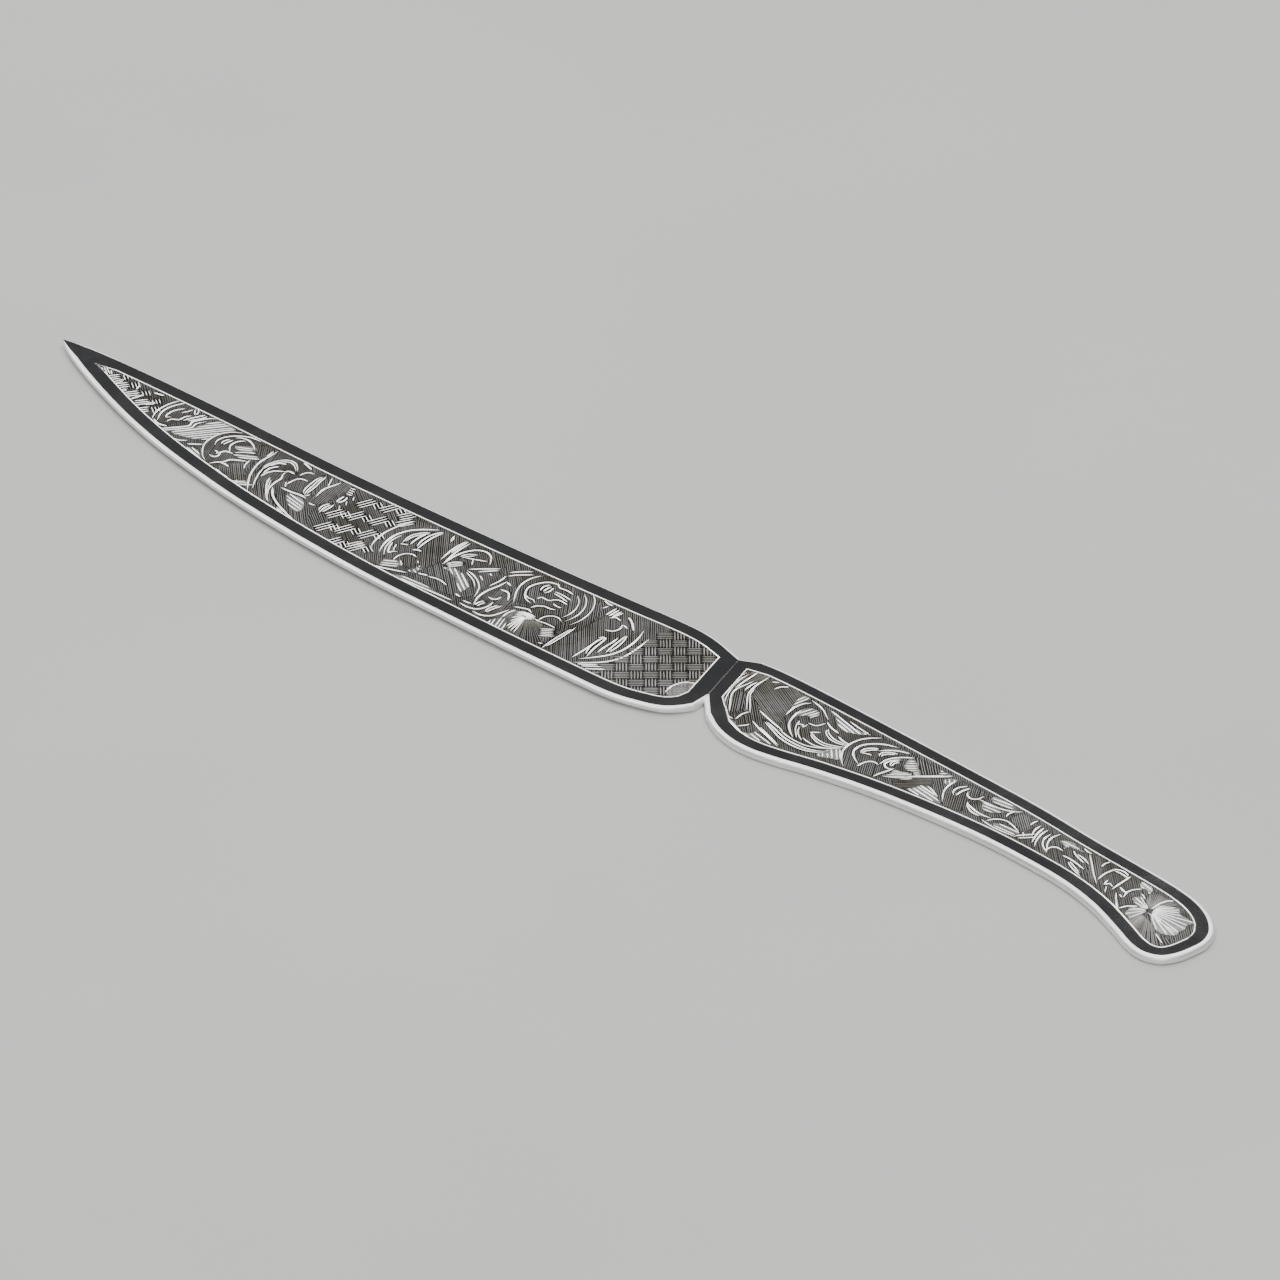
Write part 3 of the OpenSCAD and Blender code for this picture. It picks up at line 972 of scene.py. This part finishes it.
def blade_leaves(p):
    p.ground(-38, 0.42, (-40.6, 6.8), (-33, 7.4), (-29.5, 3), (-27.5, -5), (-29, -10), (-41, -10.6),
             (-40.8, -2))
    p.leaf(1.1, (-40.2, -3.3), (-40.6, 0), (-40.3, 3), (-39, 5.3), (-37, 6.1), (-35, 5.3), (-33, 3))
    p.leaf(1.5, (-39.4, 0.6), (-39, 2.4), (-37.4, 4))
    p.leaf(0.8, (-38.6, 1.6), (-36.9, 2.4), (-34.4, 3.7))
    p.line(0.25, (-37, 2.2), (-36.2, 1.2), (-35.8, 0.6))
    p.leaf(2.2, (-39.4, -3.6), (-38.4, -1.6), (-36.9, 0.1))
    p.patch(-30, (-39.2, -4.1), (-37.6, -2.7), (-35, -3), (-33, -3.8), (-30.8, -4.9), (-30.1, -6),
            (-29.9, -8.2), (-31.3, -7.6), (-33.4, -6), (-36, -4.6))
    p.line(0.35, (-35.1, -1.1), (-32.8, 1.4), (-30.5, 3.7))
    p.line(0.3, (-33, -0.4), (-31.8, 1.2), (-30.3, 3))
    p.line(0.35, (-28.3, 3.9), (-26.8, 5.9), (-25.1, 7.6))
    p.line(0.33, (-27.6, 2.7), (-26.4, 4.5), (-24.2, 6.8))
    p.line(0.27, (-27.9, 2.6), (-27.4, 0.5), (-27.6, -2.6))
    p.line(0.35, (-26.2, 1.4), (-26.2, -1), (-26.6, -4), (-26.3, -6.6), (-25.5, -8.4), (-24.5, -9.9))
    p.line(0.3, (-26, 1), (-25.2, 0.8), (-24.5, 0.6))
    p.line(0.25, (-31.7, -1.1), (-30.8, -1.5), (-29.9, -2))
    p.line(0.25, (-30.9, 1), (-30, 0.5))
    p.line(0.25, (-35, -1.5), (-33, -1.8), (-31, -2.6), (-28.5, -4.4), (-26.7, -7.6))
    p.line(0.2, (-34.5, -2.1), (-31.5, -3.2), (-29.3, -4.8))
    p.leaf(0.8, (-38.9, -8.6), (-36.5, -7.9), (-33.8, -8.3))
    p.leaf(1.1, (-41.2, -9.2), (-40.2, -8.8), (-39.2, -8.4))
    p.line(0.27, (-30.4, -9.2), (-29.6, -9.4), (-28.8, -9.4))
    p.line(0.3, (-27.5, -10), (-26.4, -9.9), (-25.4, -9.6))
    p.patch(7, (-44.6, -13), (-42, -12), (-37.5, -11.3), (-32.6, -11.7), (-28.5, -11.5), (-31, -12.2),
            (-36, -12.6), (-40, -13.2))


def blade_scroll_4(p):
    p.ground(-50, 0.42, (-24.4, 7.8), (-14, 9.2), (-7, 8.6), (-3.4, 3), (-4, -4), (-12, -3), (-16, -1.6),
             (-22, -3), (-24, 2))
    p.line(0.3, (-22.6, 7.9), (-23.5, 6), (-23.6, 3.4), (-22.8, 1), (-21.4, -1.2), (-19.6, -3.5))
    p.leaf(1.0, (-17.5, 7.8), (-20, 7), (-21.3, 5), (-21.6, 2.8), (-20.6, 0.8), (-19, -0.7), (-17, -1.2))
    p.line(0.25, (-20.6, 0.6), (-19, -0.1), (-17.6, 0.1), (-16.6, -0.6))
    p.leaf(1.9, (-18.6, 6.7), (-19.1, 5), (-18.5, 3.1))
    p.line(0.25, (-17.9, 6.2), (-17.5, 4.6), (-18, 3.4))
    p.leaf(0.9, (-18.4, 8), (-17.1, 7), (-15.2, 7.3), (-13.2, 7.1))
    p.leaf(0.7, (-16.7, 5.3), (-14.5, 5.5), (-12, 5.3))
    p.leaf(0.7, (-16.4, 4.7), (-14.5, 4.7), (-12.2, 4.3))
    p.leaf(0.8, (-15, 2.6), (-13.8, 3.6), (-11.4, 3.6))
    p.leaf(0.7, (-13.7, 1.9), (-12.6, 1.7), (-11.4, 1.9))
    p.line(0.3, (-17.4, 0.8), (-17.1, 1.9), (-16.3, 2), (-15.2, 2.1), (-14.5, 3))
    p.leaf(0.9, (-15.9, -2.3), (-15.4, -1), (-14.2, -0.1), (-12.8, 0.1), (-11.6, 0.6))
    for reach in (7.4, 8.9, 10.6):
        p.line(0.20, *[(-16 + reach * math.cos(t), 1 + reach * math.sin(t))
                      for t in (1.1, 0.75, 0.4, 0.05, -0.25)])
    p.ground(-70, 0.46, (-25, -0.8), (-21.6, -1.8), (-19.4, -4.6), (-18.4, -9), (-21, -12), (-27, -12),
             (-25.8, -7))
    p.leaf(1.1, (-25, -1.8), (-23.3, -1.5), (-22, -2.4), (-20.9, -3.8))
    p.line(0.3, (-24.8, -5.5), (-23.6, -5.5), (-22.9, -4.8), (-22.9, -3.6))
    p.leaf(1.5, (-23.8, -6.9), (-24.3, -8.3), (-24.2, -9.9))
    p.leaf(1.5, (-20.5, -5.9), (-21.2, -8), (-21.2, -9.9))
    p.line(0.33, (-27.4, -11.1), (-25, -11.1), (-23, -10.2), (-22.3, -8), (-22.7, -6))
    p.line(0.35, (-23.4, -11.5), (-21, -11.3), (-19.3, -10), (-18.6, -7.5), (-18.4, -5.7))


def blade_flower(p):
    p.fan(GROUND, (-14.3, -4.6), 3.2, (-18, -5), (-11, -5.2), (-6, -4), (-4.6, -8), (-5, -11.6),
          (-18, -12.4))
    p.leaf(0.8, (-18.5, -4.4), (-17, -3.6), (-15.6, -3.1), (-14.3, -3.7))
    p.fan(BRIGHT, (-14.3, -4), 9, (-16.8, -5), (-15.6, -4.3), (-13.6, -4), (-12.1, -4.6), (-12.8, -5.9),
          (-14.2, -6.7), (-15.2, -6.5), (-16.1, -6.8), width=0.2)
    for turn, far in ((-112, 3.6), (-98, 4.4), (-88, 6.2), (-81, 6.8), (-74, 7.2), (-67, 7.6)):
        tip = Vector((-14.6, -4.4)) + direction(turn) * far
        root = Vector((-14.6, -4.4)) + direction(turn) * 1.2
        p.leaf(0.7, root, root.lerp(tip, 0.5), tip)
    p.line(0.3, (-17.4, -5), (-17.7, -7), (-17.4, -9))
    p.patch(-66, (-17.6, -9.2), (-16.5, -8.7), (-15.7, -9.2), (-14.8, -10.5), (-14, -12.2), (-17.8, -12.5),
            (-18.4, -11.6))
    p.ground(-40, 0.38, (-11.4, -4.4), (-11.3, -2.6), (-9.4, -1.2), (-7.8, -1.8), (-7.3, -3.4),
             (-8.6, -4.6))
    p.leaf(0.7, (-12.4, -4.7), (-11, -4.7), (-9.4, -4.3), (-7, -4.2))
    p.leaf(0.7, (-11.5, -4.5), (-11.5, -2.8), (-10.6, -1.5), (-9.2, -1.1), (-7.7, -1.7))
    p.ground(-48, 0.5, (-9.6, -4.8), (-6.6, -4.4), (-5, -6.6), (-4.9, -9.6), (-7.8, -7.6), width=0.2)
    p.bundle((-7, -6.6), 40, 3, 5, 0.62, 0.2)
    p.leaf(1.3, (-4.3, -1.2), (-4, -5), (-3.8, -8), (-3.5, -11.4))
    p.line(0.25, (-5.6, -10.5), (-4.6, -10.1))
    p.bundle((-2.6, 8), 92, 3.2, 3, 0.75, 0.35)
    p.line(0.25, (-5.2, 9.2), (-5.5, 7.6))
    p.leaf(0.9, (-7.2, 9.9), (-6, 9.6), (-4.6, 9.7))
    p.leaf(0.8, (-1.9, 6.1), (-1.1, 7), (0.5, 6.9))
    p.line(0.3, (-1.3, 9.4), (-1.5, 7.8), (-1.8, 6.5))


def blade_heel(p):
    p.ground(-46, 0.4, (-3.4, 10.4), (9.5, 12.2), (10.2, 2), (9.6, -5), (6, -10.6), (-3.2, -11.4),
             (-3, -2))
    p.leaf(0.9, (1.7, 6.1), (2.4, 4.7), (2, 3.1), (0.4, 2.2))
    p.line(0.25, (1.9, 6.1), (2.6, 6), (3.5, 5.7))
    p.leaf(1.1, (0.6, 8.9), (2.5, 7.9), (5, 5.9))
    p.leaf(1.7, (5.2, 3.8), (6, 1.2), (6.5, -1.3), (6.8, -3.6))
    p.line(0.3, (4.5, 2.2), (4.9, 0), (5, -2), (5.4, -4.8))
    p.leaf(2.0, (2.8, 0.5), (2.9, -1.6), (3.5, -4.5), (4.8, -7.4))
    p.line(0.3, (1.7, -0.8), (2.4, 0.2), (3.3, -0.6))
    p.line(0.3, (2.3, -1.5), (2.8, -5), (3.1, -9.6))
    p.line(0.4, (6.2, 7.7), (7.6, 4.5), (8.3, 1), (8.2, -2), (7.1, -5), (4.3, -9.2))
    p.line(0.35, (9.2, 6.2), (10, 2), (10.3, -1.6), (9.7, -4.6), (7.8, -7.6), (4.4, -10.8))
    for x, y in ((7.2, -9.1), (8.3, -9.1), (9.4, -9.3)):
        p.leaf(0.9, (x - 1.7, y - 1.4), (x, y), (x + 1.5, y + 1.3))
    p.zone(GROUND, [(10.2, 13), (10.6, 2), (10.4, -3), (9.4, -7), (11.6, -9), (12, -13), (30, -13),
                    (30, 13)], steps=1)
    cell = 2.9
    weave_start = 10
    for i in range(-4, 9):
        for j in range(-4, 9):
            centre = Vector((10.6, 1)) + direction(45) * cell * i + direction(-45) * cell * j
            if centre.x > weave_start:
                p.bundle(centre, -45 if (i + j) % 2 else 45, 3.5, 4, 0.62, 0.3, GROUND)
    p.zone(BRIGHT, [(25.2, -5.6), (24.6, -3), (25.3, -0.4), (27, 0.8), (28.2, 0.2), (28.4, -3),
                    (27, -5.8)])
    p.line(0.3, (25.2, -5.6), (24.6, -3), (25.3, -0.4), (27, 0.8), (28.2, 0.2))


# Motifs of the handle, from the neck to the butt

def handle_neck(p):
    p.ground(84, 0.4, (31.4, 11), (33, 12.9), (36, 13.5), (36, 10.5), (34.9, 9), (34.2, 6), (34.2, 2.6),
             (32.8, 4.6), (31.9, 7), width=0.2)
    p.leaf(0.9, (33.2, 12.6), (33.4, 10.6), (33.6, 8.2), (34, 5.4))
    p.line(0.25, (31.7, 11), (31.8, 8), (32.8, 5), (34.2, 2), (36, -0.2))
    p.line(0.2, (32.4, 11), (32.5, 8), (33.4, 5), (35, 1.8), (36.8, -0.8))
    p.line(0.3, (34.9, 9.7), (34.5, 7), (34.5, 4.6), (35.7, 2.4), (38.2, -0.5), (39.3, -1.7))
    p.line(0.27, (35.6, 10), (35.5, 8), (35.9, 6))
    p.line(0.25, (36, 13.3), (36.2, 9.5), (37, 6.3), (38.6, 4), (41.4, 1))
    p.line(0.23, (36.8, 8), (37.6, 6), (39.6, 3.8), (42.5, 0.8))
    p.ground(-52, 0.42, (34.4, 4.4), (36.4, 5.4), (38.6, 3), (40.4, 0.8), (39.2, -2.4), (36, -0.4),
             width=0.16)
    p.ground(-24, 0.42, (36.4, 13.2), (45.2, 13.2), (46.8, 9), (47.8, 5.4), (50, 3), (46, 2), (41.5, 4),
             (38, 6.4), width=0.16)
    p.leaf(0.8, (41.3, 13.1), (40.1, 12), (39.7, 10.5))
    p.line(0.25, (38.8, 12.9), (38.1, 12.4), (37.6, 12))
    p.leaf(0.8, (42, 1.1), (41.6, -0.6), (41.9, -2.7))
    p.line(0.25, (39.2, -2.8), (40.4, -3), (41.4, -2.9))
    p.leaf(0.8, (45.2, -2.1), (44.7, -3.2), (43.9, -4.2))
    p.patch(-18, (40.1, -3.6), (42.5, -3.5), (45, -4.8), (46.3, -5.2), (44, -5.9), (41.8, -5.3))
    p.patch(-10, (47.9, -2.5), (48.6, -3.4), (51, -3.6), (53.6, -4.2), (51, -5), (48, -5.6), (46.3, -5.3),
            (47.6, -4.2))
    p.line(0.3, (44.7, -0.8), (48, -2), (51.5, -2.9), (54.8, -4))
    p.line(0.2, (47.3, -1.4), (51, -2.5), (54.6, -3.6))
    p.leaf(1.7, (45.8, 1), (49.5, 0), (53, -1.1), (57, -1.3), (60.5, -0.4), (63.2, 1.7))
    p.line(0.25, (43, 2.9), (47, 1.8), (51.6, 0.8))
    p.line(0.25, (50.5, 0.7), (54, 0), (58, 0.1), (61, 1.6), (64.2, 4.5))


def handle_scroll_1(p):
    p.ground(-40, 0.42, (48, 12.8), (47.4, 9), (48, 5), (51, 1.4), (57, 0.6), (63.5, 3), (64.4, 7),
             (64.6, 12.4))
    p.patch(82, (45.3, 12.9), (47.3, 13), (47.1, 11), (47.4, 7.3), (46.5, 8.8), (45.6, 11))
    p.line(0.3, (48.6, 12), (47.5, 10.6), (47.3, 8), (47.9, 5.2))
    p.patch(74, (48.8, 8.8), (49.3, 10.2), (50.5, 10.9), (52, 10.7), (52.8, 9.6), (52.3, 8.9), (52.4, 7.7),
            (51.4, 8.2), (50.3, 7.4), (49.4, 6))
    p.line(0.37, (49, 9), (49, 7.4), (49.6, 5.4), (50.7, 3.4), (52.6, 1.7), (54.6, 0.5))
    p.leaf(0.7, (53.1, 6.4), (54.4, 6.5), (55.2, 7.2), (55.6, 8.8))
    p.line(0.27, (51.3, 5.8), (51.9, 4.7), (52.7, 5.2), (53.3, 4.6), (53.4, 6))
    p.line(0.23, (51.4, 5), (53, 2.8), (55.2, 0.9))
    p.line(0.23, (52.7, 4.2), (54.3, 2.2), (56.6, 0.9))
    p.patch(-12, (51.3, 12.9), (54, 12.7), (57.5, 12), (61, 11.4), (64.3, 11.6), (63, 10.4), (60.5, 9.3),
            (58, 9.8), (56.3, 11.1), (54, 12.1))
    p.line(0.25, (47.8, 12.8), (51.5, 12), (55.1, 9.9))
    p.line(0.3, (55.5, 9.2), (57.5, 8.3), (60, 7.9))
    p.line(0.23, (58.4, 12.6), (61.5, 12.1), (64.8, 11.8))
    p.leaf(1.3, (57.2, 7.7), (58.3, 6.4), (60.5, 5.5), (62.8, 5.6), (64.4, 6.3))
    p.line(0.25, (60.6, 7), (62.5, 6.5), (64.2, 6.5))
    p.leaf(1.3, (55.5, 4.3), (58, 3.2), (60.5, 3), (62.8, 3.9), (64.4, 5.2))
    p.line(0.3, (55.6, 4.1), (56.4, 4.9), (57.2, 5.6))
    p.line(0.25, (55.8, 1.8), (58, 1.4), (60.4, 1.6), (63.2, 3))
    p.patch(-44, (61.8, 0), (62.4, 2), (63.7, 4), (65.4, 2.9), (66.6, 1.2), (64.6, 0), (62.6, -1))


def handle_scroll_2(p):
    p.ground(-56, 0.42, (66, 12.6), (76, 12.6), (77, 8), (76, 1.8), (68.6, 0.2), (65, 4), (64.4, 8))
    p.line(0.35, (67.2, 12.8), (65.2, 10.6), (64.3, 8.6), (64.2, 6), (65, 3.7), (67, 1.3), (68.8, 0))
    p.line(0.4, (71.8, 12.5), (69, 11.3), (67, 9.6), (66, 7.5), (66.4, 5.4), (68, 3.8), (70.4, 2.6))
    p.line(0.35, (75, 12.5), (72.8, 11.7), (71, 10.3), (69.8, 8.8))
    p.leaf(0.9, (76.6, 12), (74.6, 10.3), (73.2, 8), (73.2, 5.5))
    p.line(0.35, (75.2, 9.7), (74, 8), (73.9, 6.3), (75, 5.6), (76.4, 6))
    p.leaf(1.6, (69.8, 9.6), (68.5, 8.4), (67.7, 7.2), (67.9, 5.8))
    p.leaf(0.7, (69.9, 6.8), (69, 6.6), (67.8, 6))
    p.leaf(1.6, (73.4, 10.6), (71.8, 9.6), (71.1, 8.4), (71.7, 7.4))
    p.leaf(1.4, (75.7, 9.3), (74.8, 7.9), (75.3, 6.6))
    p.line(0.33, (70.6, 1.9), (70.6, 3.5), (71, 4.7), (72, 5.4), (73.3, 5.2))
    p.line(0.37, (76.3, 6.5), (75.9, 4.6), (75.5, 3), (75.3, 1.5))
    p.patch(42, (76, 11), (77.4, 11.4), (79.5, 10), (81, 8.7), (82, 7.9), (80.8, 7.4), (79.7, 8.1),
            (78.4, 7.8), (77, 8.6))
    p.patch(46, (79.9, 7.6), (81.4, 6.2), (79.8, 4.6), (78, 3.5), (76.4, 2.8), (77, 4.5), (76.6, 6),
            (77.8, 6.6), (79, 7), pitch=0.5, width=0.16)
    p.ground(-40, 0.5, (76.4, 12.5), (83, 12.5), (84.6, 11), (82, 8.2), (79.6, 10.2), (78, 11.2),
             width=0.18)
    p.ground(44, 0.5, (81.6, 7.4), (83.8, 9.4), (85.6, 7), (84, 4.6), (82.6, 2.8), (80, 2.6), (81.6, 5),
             width=0.17)
    p.line(0.37, (80, 6.1), (83, 9), (86.4, 12.4))
    p.line(0.3, (81.2, 7.4), (83.4, 9.7), (85.2, 11.6))
    p.patch(45, (83.2, 12.5), (86.4, 12.5), (85.3, 11), (84.4, 10.4))
    p.patch(-44, (86, 10.8), (87, 11.9), (88.2, 11.4), (88.2, 9.8), (86.6, 9.6))
    p.line(0.3, (87.9, 12.3), (88, 9.8), (88.8, 7.4), (91.2, 4.4))
    p.patch(-6, (84.1, 6), (85.2, 6), (87.6, 5.6), (89.6, 4.6), (91.2, 3.8), (87, 3), (83.2, 2.8),
            (83.8, 4.5))
    p.line(0.25, (85.2, 6.5), (87, 6.1), (89.4, 5))


def handle_scroll_3(p):
    p.ground(-56, 0.44, (88.8, 12.6), (96, 12.8), (96, 9), (94.6, 6.6), (96, 4.6), (91.4, 4), (89, 8))
    p.line(0.3, (92.2, 10.7), (93, 9.6), (94.4, 9.3), (95.4, 10.2), (95.5, 11.8))
    p.leaf(0.8, (90.9, 12), (90, 10.6), (90, 9), (91, 7.8))
    p.leaf(1.0, (91.7, 11.8), (91.2, 10), (91.4, 8))
    p.leaf(0.9, (94.6, 8), (95.8, 6.8), (97.5, 6), (99.7, 6))
    p.line(0.33, (95, 7.6), (97, 6.9), (99.5, 6.6), (101.9, 7))
    p.patch(8, (96.8, 10), (98.5, 10.3), (101, 10.2), (102.3, 10.4), (101, 8.8), (99, 8), (97.6, 8.8))
    p.patch(10, (97, 13), (98.5, 13.2), (101.8, 13.2), (102.8, 12.4), (101, 11.7), (98.5, 11.4),
            (97.2, 11.9))
    p.line(0.3, (95.4, 10.2), (99, 10.4), (101.5, 10.9), (103.3, 11.8), (104.8, 13))
    p.leaf(0.8, (103.5, 12), (103.2, 10.6), (103.5, 9.4))
    p.leaf(0.8, (101.6, 5.6), (102.6, 7.4), (104.4, 8.4), (106.5, 8.1), (109, 7.2))
    p.patch(5, (103.3, 6), (105, 7.1), (107.5, 7.3), (109.6, 6.9), (109, 5.9), (106, 5.4), (104, 5.4))
    p.line(0.25, (100.6, 5.4), (103.5, 5), (106, 5.1), (109.8, 5.6))
    p.ground(-38, 0.42, (104.6, 12.4), (109, 12.4), (109.8, 8), (106.6, 8.6), (104.6, 9), width=0.17)


def handle_waist(p):
    p.line(0.33, (109.2, 5.6), (110.4, 7.3), (111.7, 9))
    p.line(0.3, (110.2, 5.6), (111.3, 6.9), (112.5, 8.3))
    p.line(0.25, (109.4, 7.9), (110.7, 6.7))
    p.leaf(0.8, (108.9, 12.7), (108.7, 11.8), (108.8, 10.6))
    p.line(0.3, (110.4, 11.9), (110.6, 10), (111.6, 8))
    p.line(0.33, (111.4, 11.8), (111.7, 9.9), (112.2, 8.4), (113.2, 6.3))
    p.line(0.3, (112.5, 11.9), (112.5, 10), (113.2, 7.8), (114.5, 5.6))
    p.line(0.3, (113.8, 11.2), (114, 9), (115.5, 7), (117.6, 5.8))
    p.line(0.3, (115.2, 12.5), (114.8, 10.5), (115.4, 8.5), (117.5, 5.9))
    p.patch(4, (116.7, 10.6), (117.6, 11.5), (119.6, 11.9), (120.2, 11.3), (122.9, 11), (120.3, 10.5),
            (119.4, 10.3), (119.1, 9), (118.6, 10), (117.5, 10.3))
    p.line(0.33, (116.8, 6.1), (116.9, 7.7), (117.8, 8.5), (119.4, 8.5))
    p.leaf(0.8, (120.9, 9.9), (122.3, 9.1), (125.2, 8.2))
    p.leaf(0.9, (120.3, 7.3), (123, 7.3), (126.7, 6.6))
    p.leaf(1.3, (122.2, 6.8), (124.5, 5.7), (127.7, 4.5))
    p.line(0.23, (121.8, 12), (123, 11.6), (124.2, 11.7))
    p.line(0.23, (122, 9.6), (124.2, 9.3), (126.2, 8.5))
    p.ground(-42, 0.4, (123.6, 11.6), (128, 11.8), (130, 8), (131.8, 4.8), (129.4, 4.2), (126.6, 8),
             width=0.16)
    p.line(0.25, (123.8, 11.3), (126.5, 9), (129, 6.8), (131.8, 4.6))
    p.leaf(0.7, (128.5, 12.1), (128.2, 11), (128.4, 9.6))


def handle_arch(p):
    p.leaf(0.9, (130.9, 6), (130.5, 8), (130.7, 10), (131.3, 11.3))
    p.leaf(1.7, (130.6, 10.5), (132.6, 11), (134.9, 10.5))
    p.leaf(0.9, (134.7, 11.2), (134.8, 9), (134.9, 7), (135.1, 5.3))
    p.line(0.25, (132.4, 7.2), (132.9, 5.6), (133.5, 6.5), (134.7, 6))
    p.line(0.23, (133.6, 5.4), (134.9, 3.6))
    p.line(0.33, (135.7, 7), (137, 6.5), (138, 6.4))
    p.leaf(0.8, (139.2, 9.5), (138.1, 8), (137.9, 6.5), (138.6, 4.8))
    p.line(0.25, (137.3, 5.1), (138.4, 4.6))
    p.patch(-12, (137.4, 11.3), (138.6, 11.4), (140.3, 11.2), (141.1, 10.3), (141.3, 9.1), (140.2, 9.8),
            (138.9, 9.8), (138, 10.2))
    p.line(0.3, (137.1, 4.3), (138.8, 2.6), (140.7, 0.9))
    p.line(0.23, (136.4, 5.1), (138.2, 3.2), (139.6, 1.6))


def handle_flower(p):
    heart = Vector((145, 5.1))
    p.fan(GROUND, heart, 4, (141.4, 10.6), (145.2, 10.6), (149, 10.2), (150, 7.8), (145, 5.5), (141.8, 8),
          width=0.17)
    p.fan(GROUND, heart, 2.6, (144.8, 3), (147.5, 2.4), (149.5, 1.4), (152, 0.5), (155, 0), (155, -3),
          (148, -3.2), (144.4, -0.6), width=0.17)
    p.fan(BRIGHT, heart, 15, (140, 6.4), (141, 7.5), (142.3, 6.7), (144.6, 5.3), (143, 4.6), (141.5, 5),
          (140.1, 5.6), width=0.19)
    p.leaf(0.7, (140.2, 8.1), (141, 7.9), (141.9, 7.3))
    p.fan(BRIGHT, heart, 15, (141.8, 3.3), (143.4, 4.7), (144.8, 4.5), (144.9, 3), (144.4, 0.3),
          (143.5, 0.8), (142.5, 0.9), width=0.19)
    p.leaf(1.0, (142.6, 4.5), (141.2, 3.2), (140.4, 1.4))
    p.line(0.37, (146.2, 10.8), (145.2, 9.4), (144.9, 7.8))
    p.line(0.25, (144.8, 8.4), (145, 7), (145, 5.8))
    p.fan(BRIGHT, heart, 9, (145.7, 5.2), (145.3, 7), (145.5, 8.2), (146.7, 8.7), (148.7, 9.5),
          (149.7, 8.6), (150.6, 8.1), (154, 7.9), (153.6, 6.5), (154.3, 5), (154.1, 3.5), (154.4, 2.2),
          (152, 0.8), (149.6, 1.5), (147.5, 2.8), width=0.2, steps=2)
    p.line(0.2, (145.3, 4.3), (148, 3.8), (151, 3.3), (154.2, 3))
    p.leaf(0.6, (151.3, 0.1), (153, -0.8), (154.5, -1.5))


BLADE_MOTIFS = (blade_tip, blade_small_scroll, blade_scroll_1, blade_scroll_2, blade_middle, blade_scroll_3,
                blade_leaves, blade_scroll_4, blade_flower, blade_heel)
HANDLE_MOTIFS = (handle_neck, handle_scroll_1, handle_scroll_2, handle_scroll_3, handle_waist, handle_arch,
                 handle_flower)


def ornament(node, motifs, seed):
    """The whole ornament of a plate, over plain hatching that fills its box."""
    low, high = (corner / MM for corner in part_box(node))
    panel = Panel(seed)
    panel.zone(GROUND, [(low.x, low.y), (high.x, low.y), (high.x, high.y), (low.x, high.y)],
               panel.rows(-40, 0.42), steps=1)
    for motif in motifs:
        motif(panel)
    work = Engraving()
    panel.engrave(work)
    return work


add_camera()
add_world()
add_floor()
add_softbox("overhead", CAMERA_AZIMUTH, **OVERHEAD)
add_softbox("front", CAMERA_AZIMUTH, **FRONT)
for name, turn in (("left_strip", -STRIP_TURN), ("right_strip", STRIP_TURN)):
    add_softbox(name, CAMERA_AZIMUTH + 180 + turn, **STRIP)

looks = finishes()
for node, motifs, seed in (("blade", BLADE_MOTIFS, 7), ("handle", HANDLE_MOTIFS, 11)):
    piece = plate(node, ornament(node, motifs, seed))
    for look in looks:
        piece.data.materials.append(look)
    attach(piece, "root")
    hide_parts(node)

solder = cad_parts["neck_solder"]
solder.data.materials.clear()
solder.data.materials.append(
    silver("solder_silver", [(0.72, 0.71, 0.68), (0.84, 0.83, 0.80)], 300, (0.18, 0.3), 0.4, 1500))
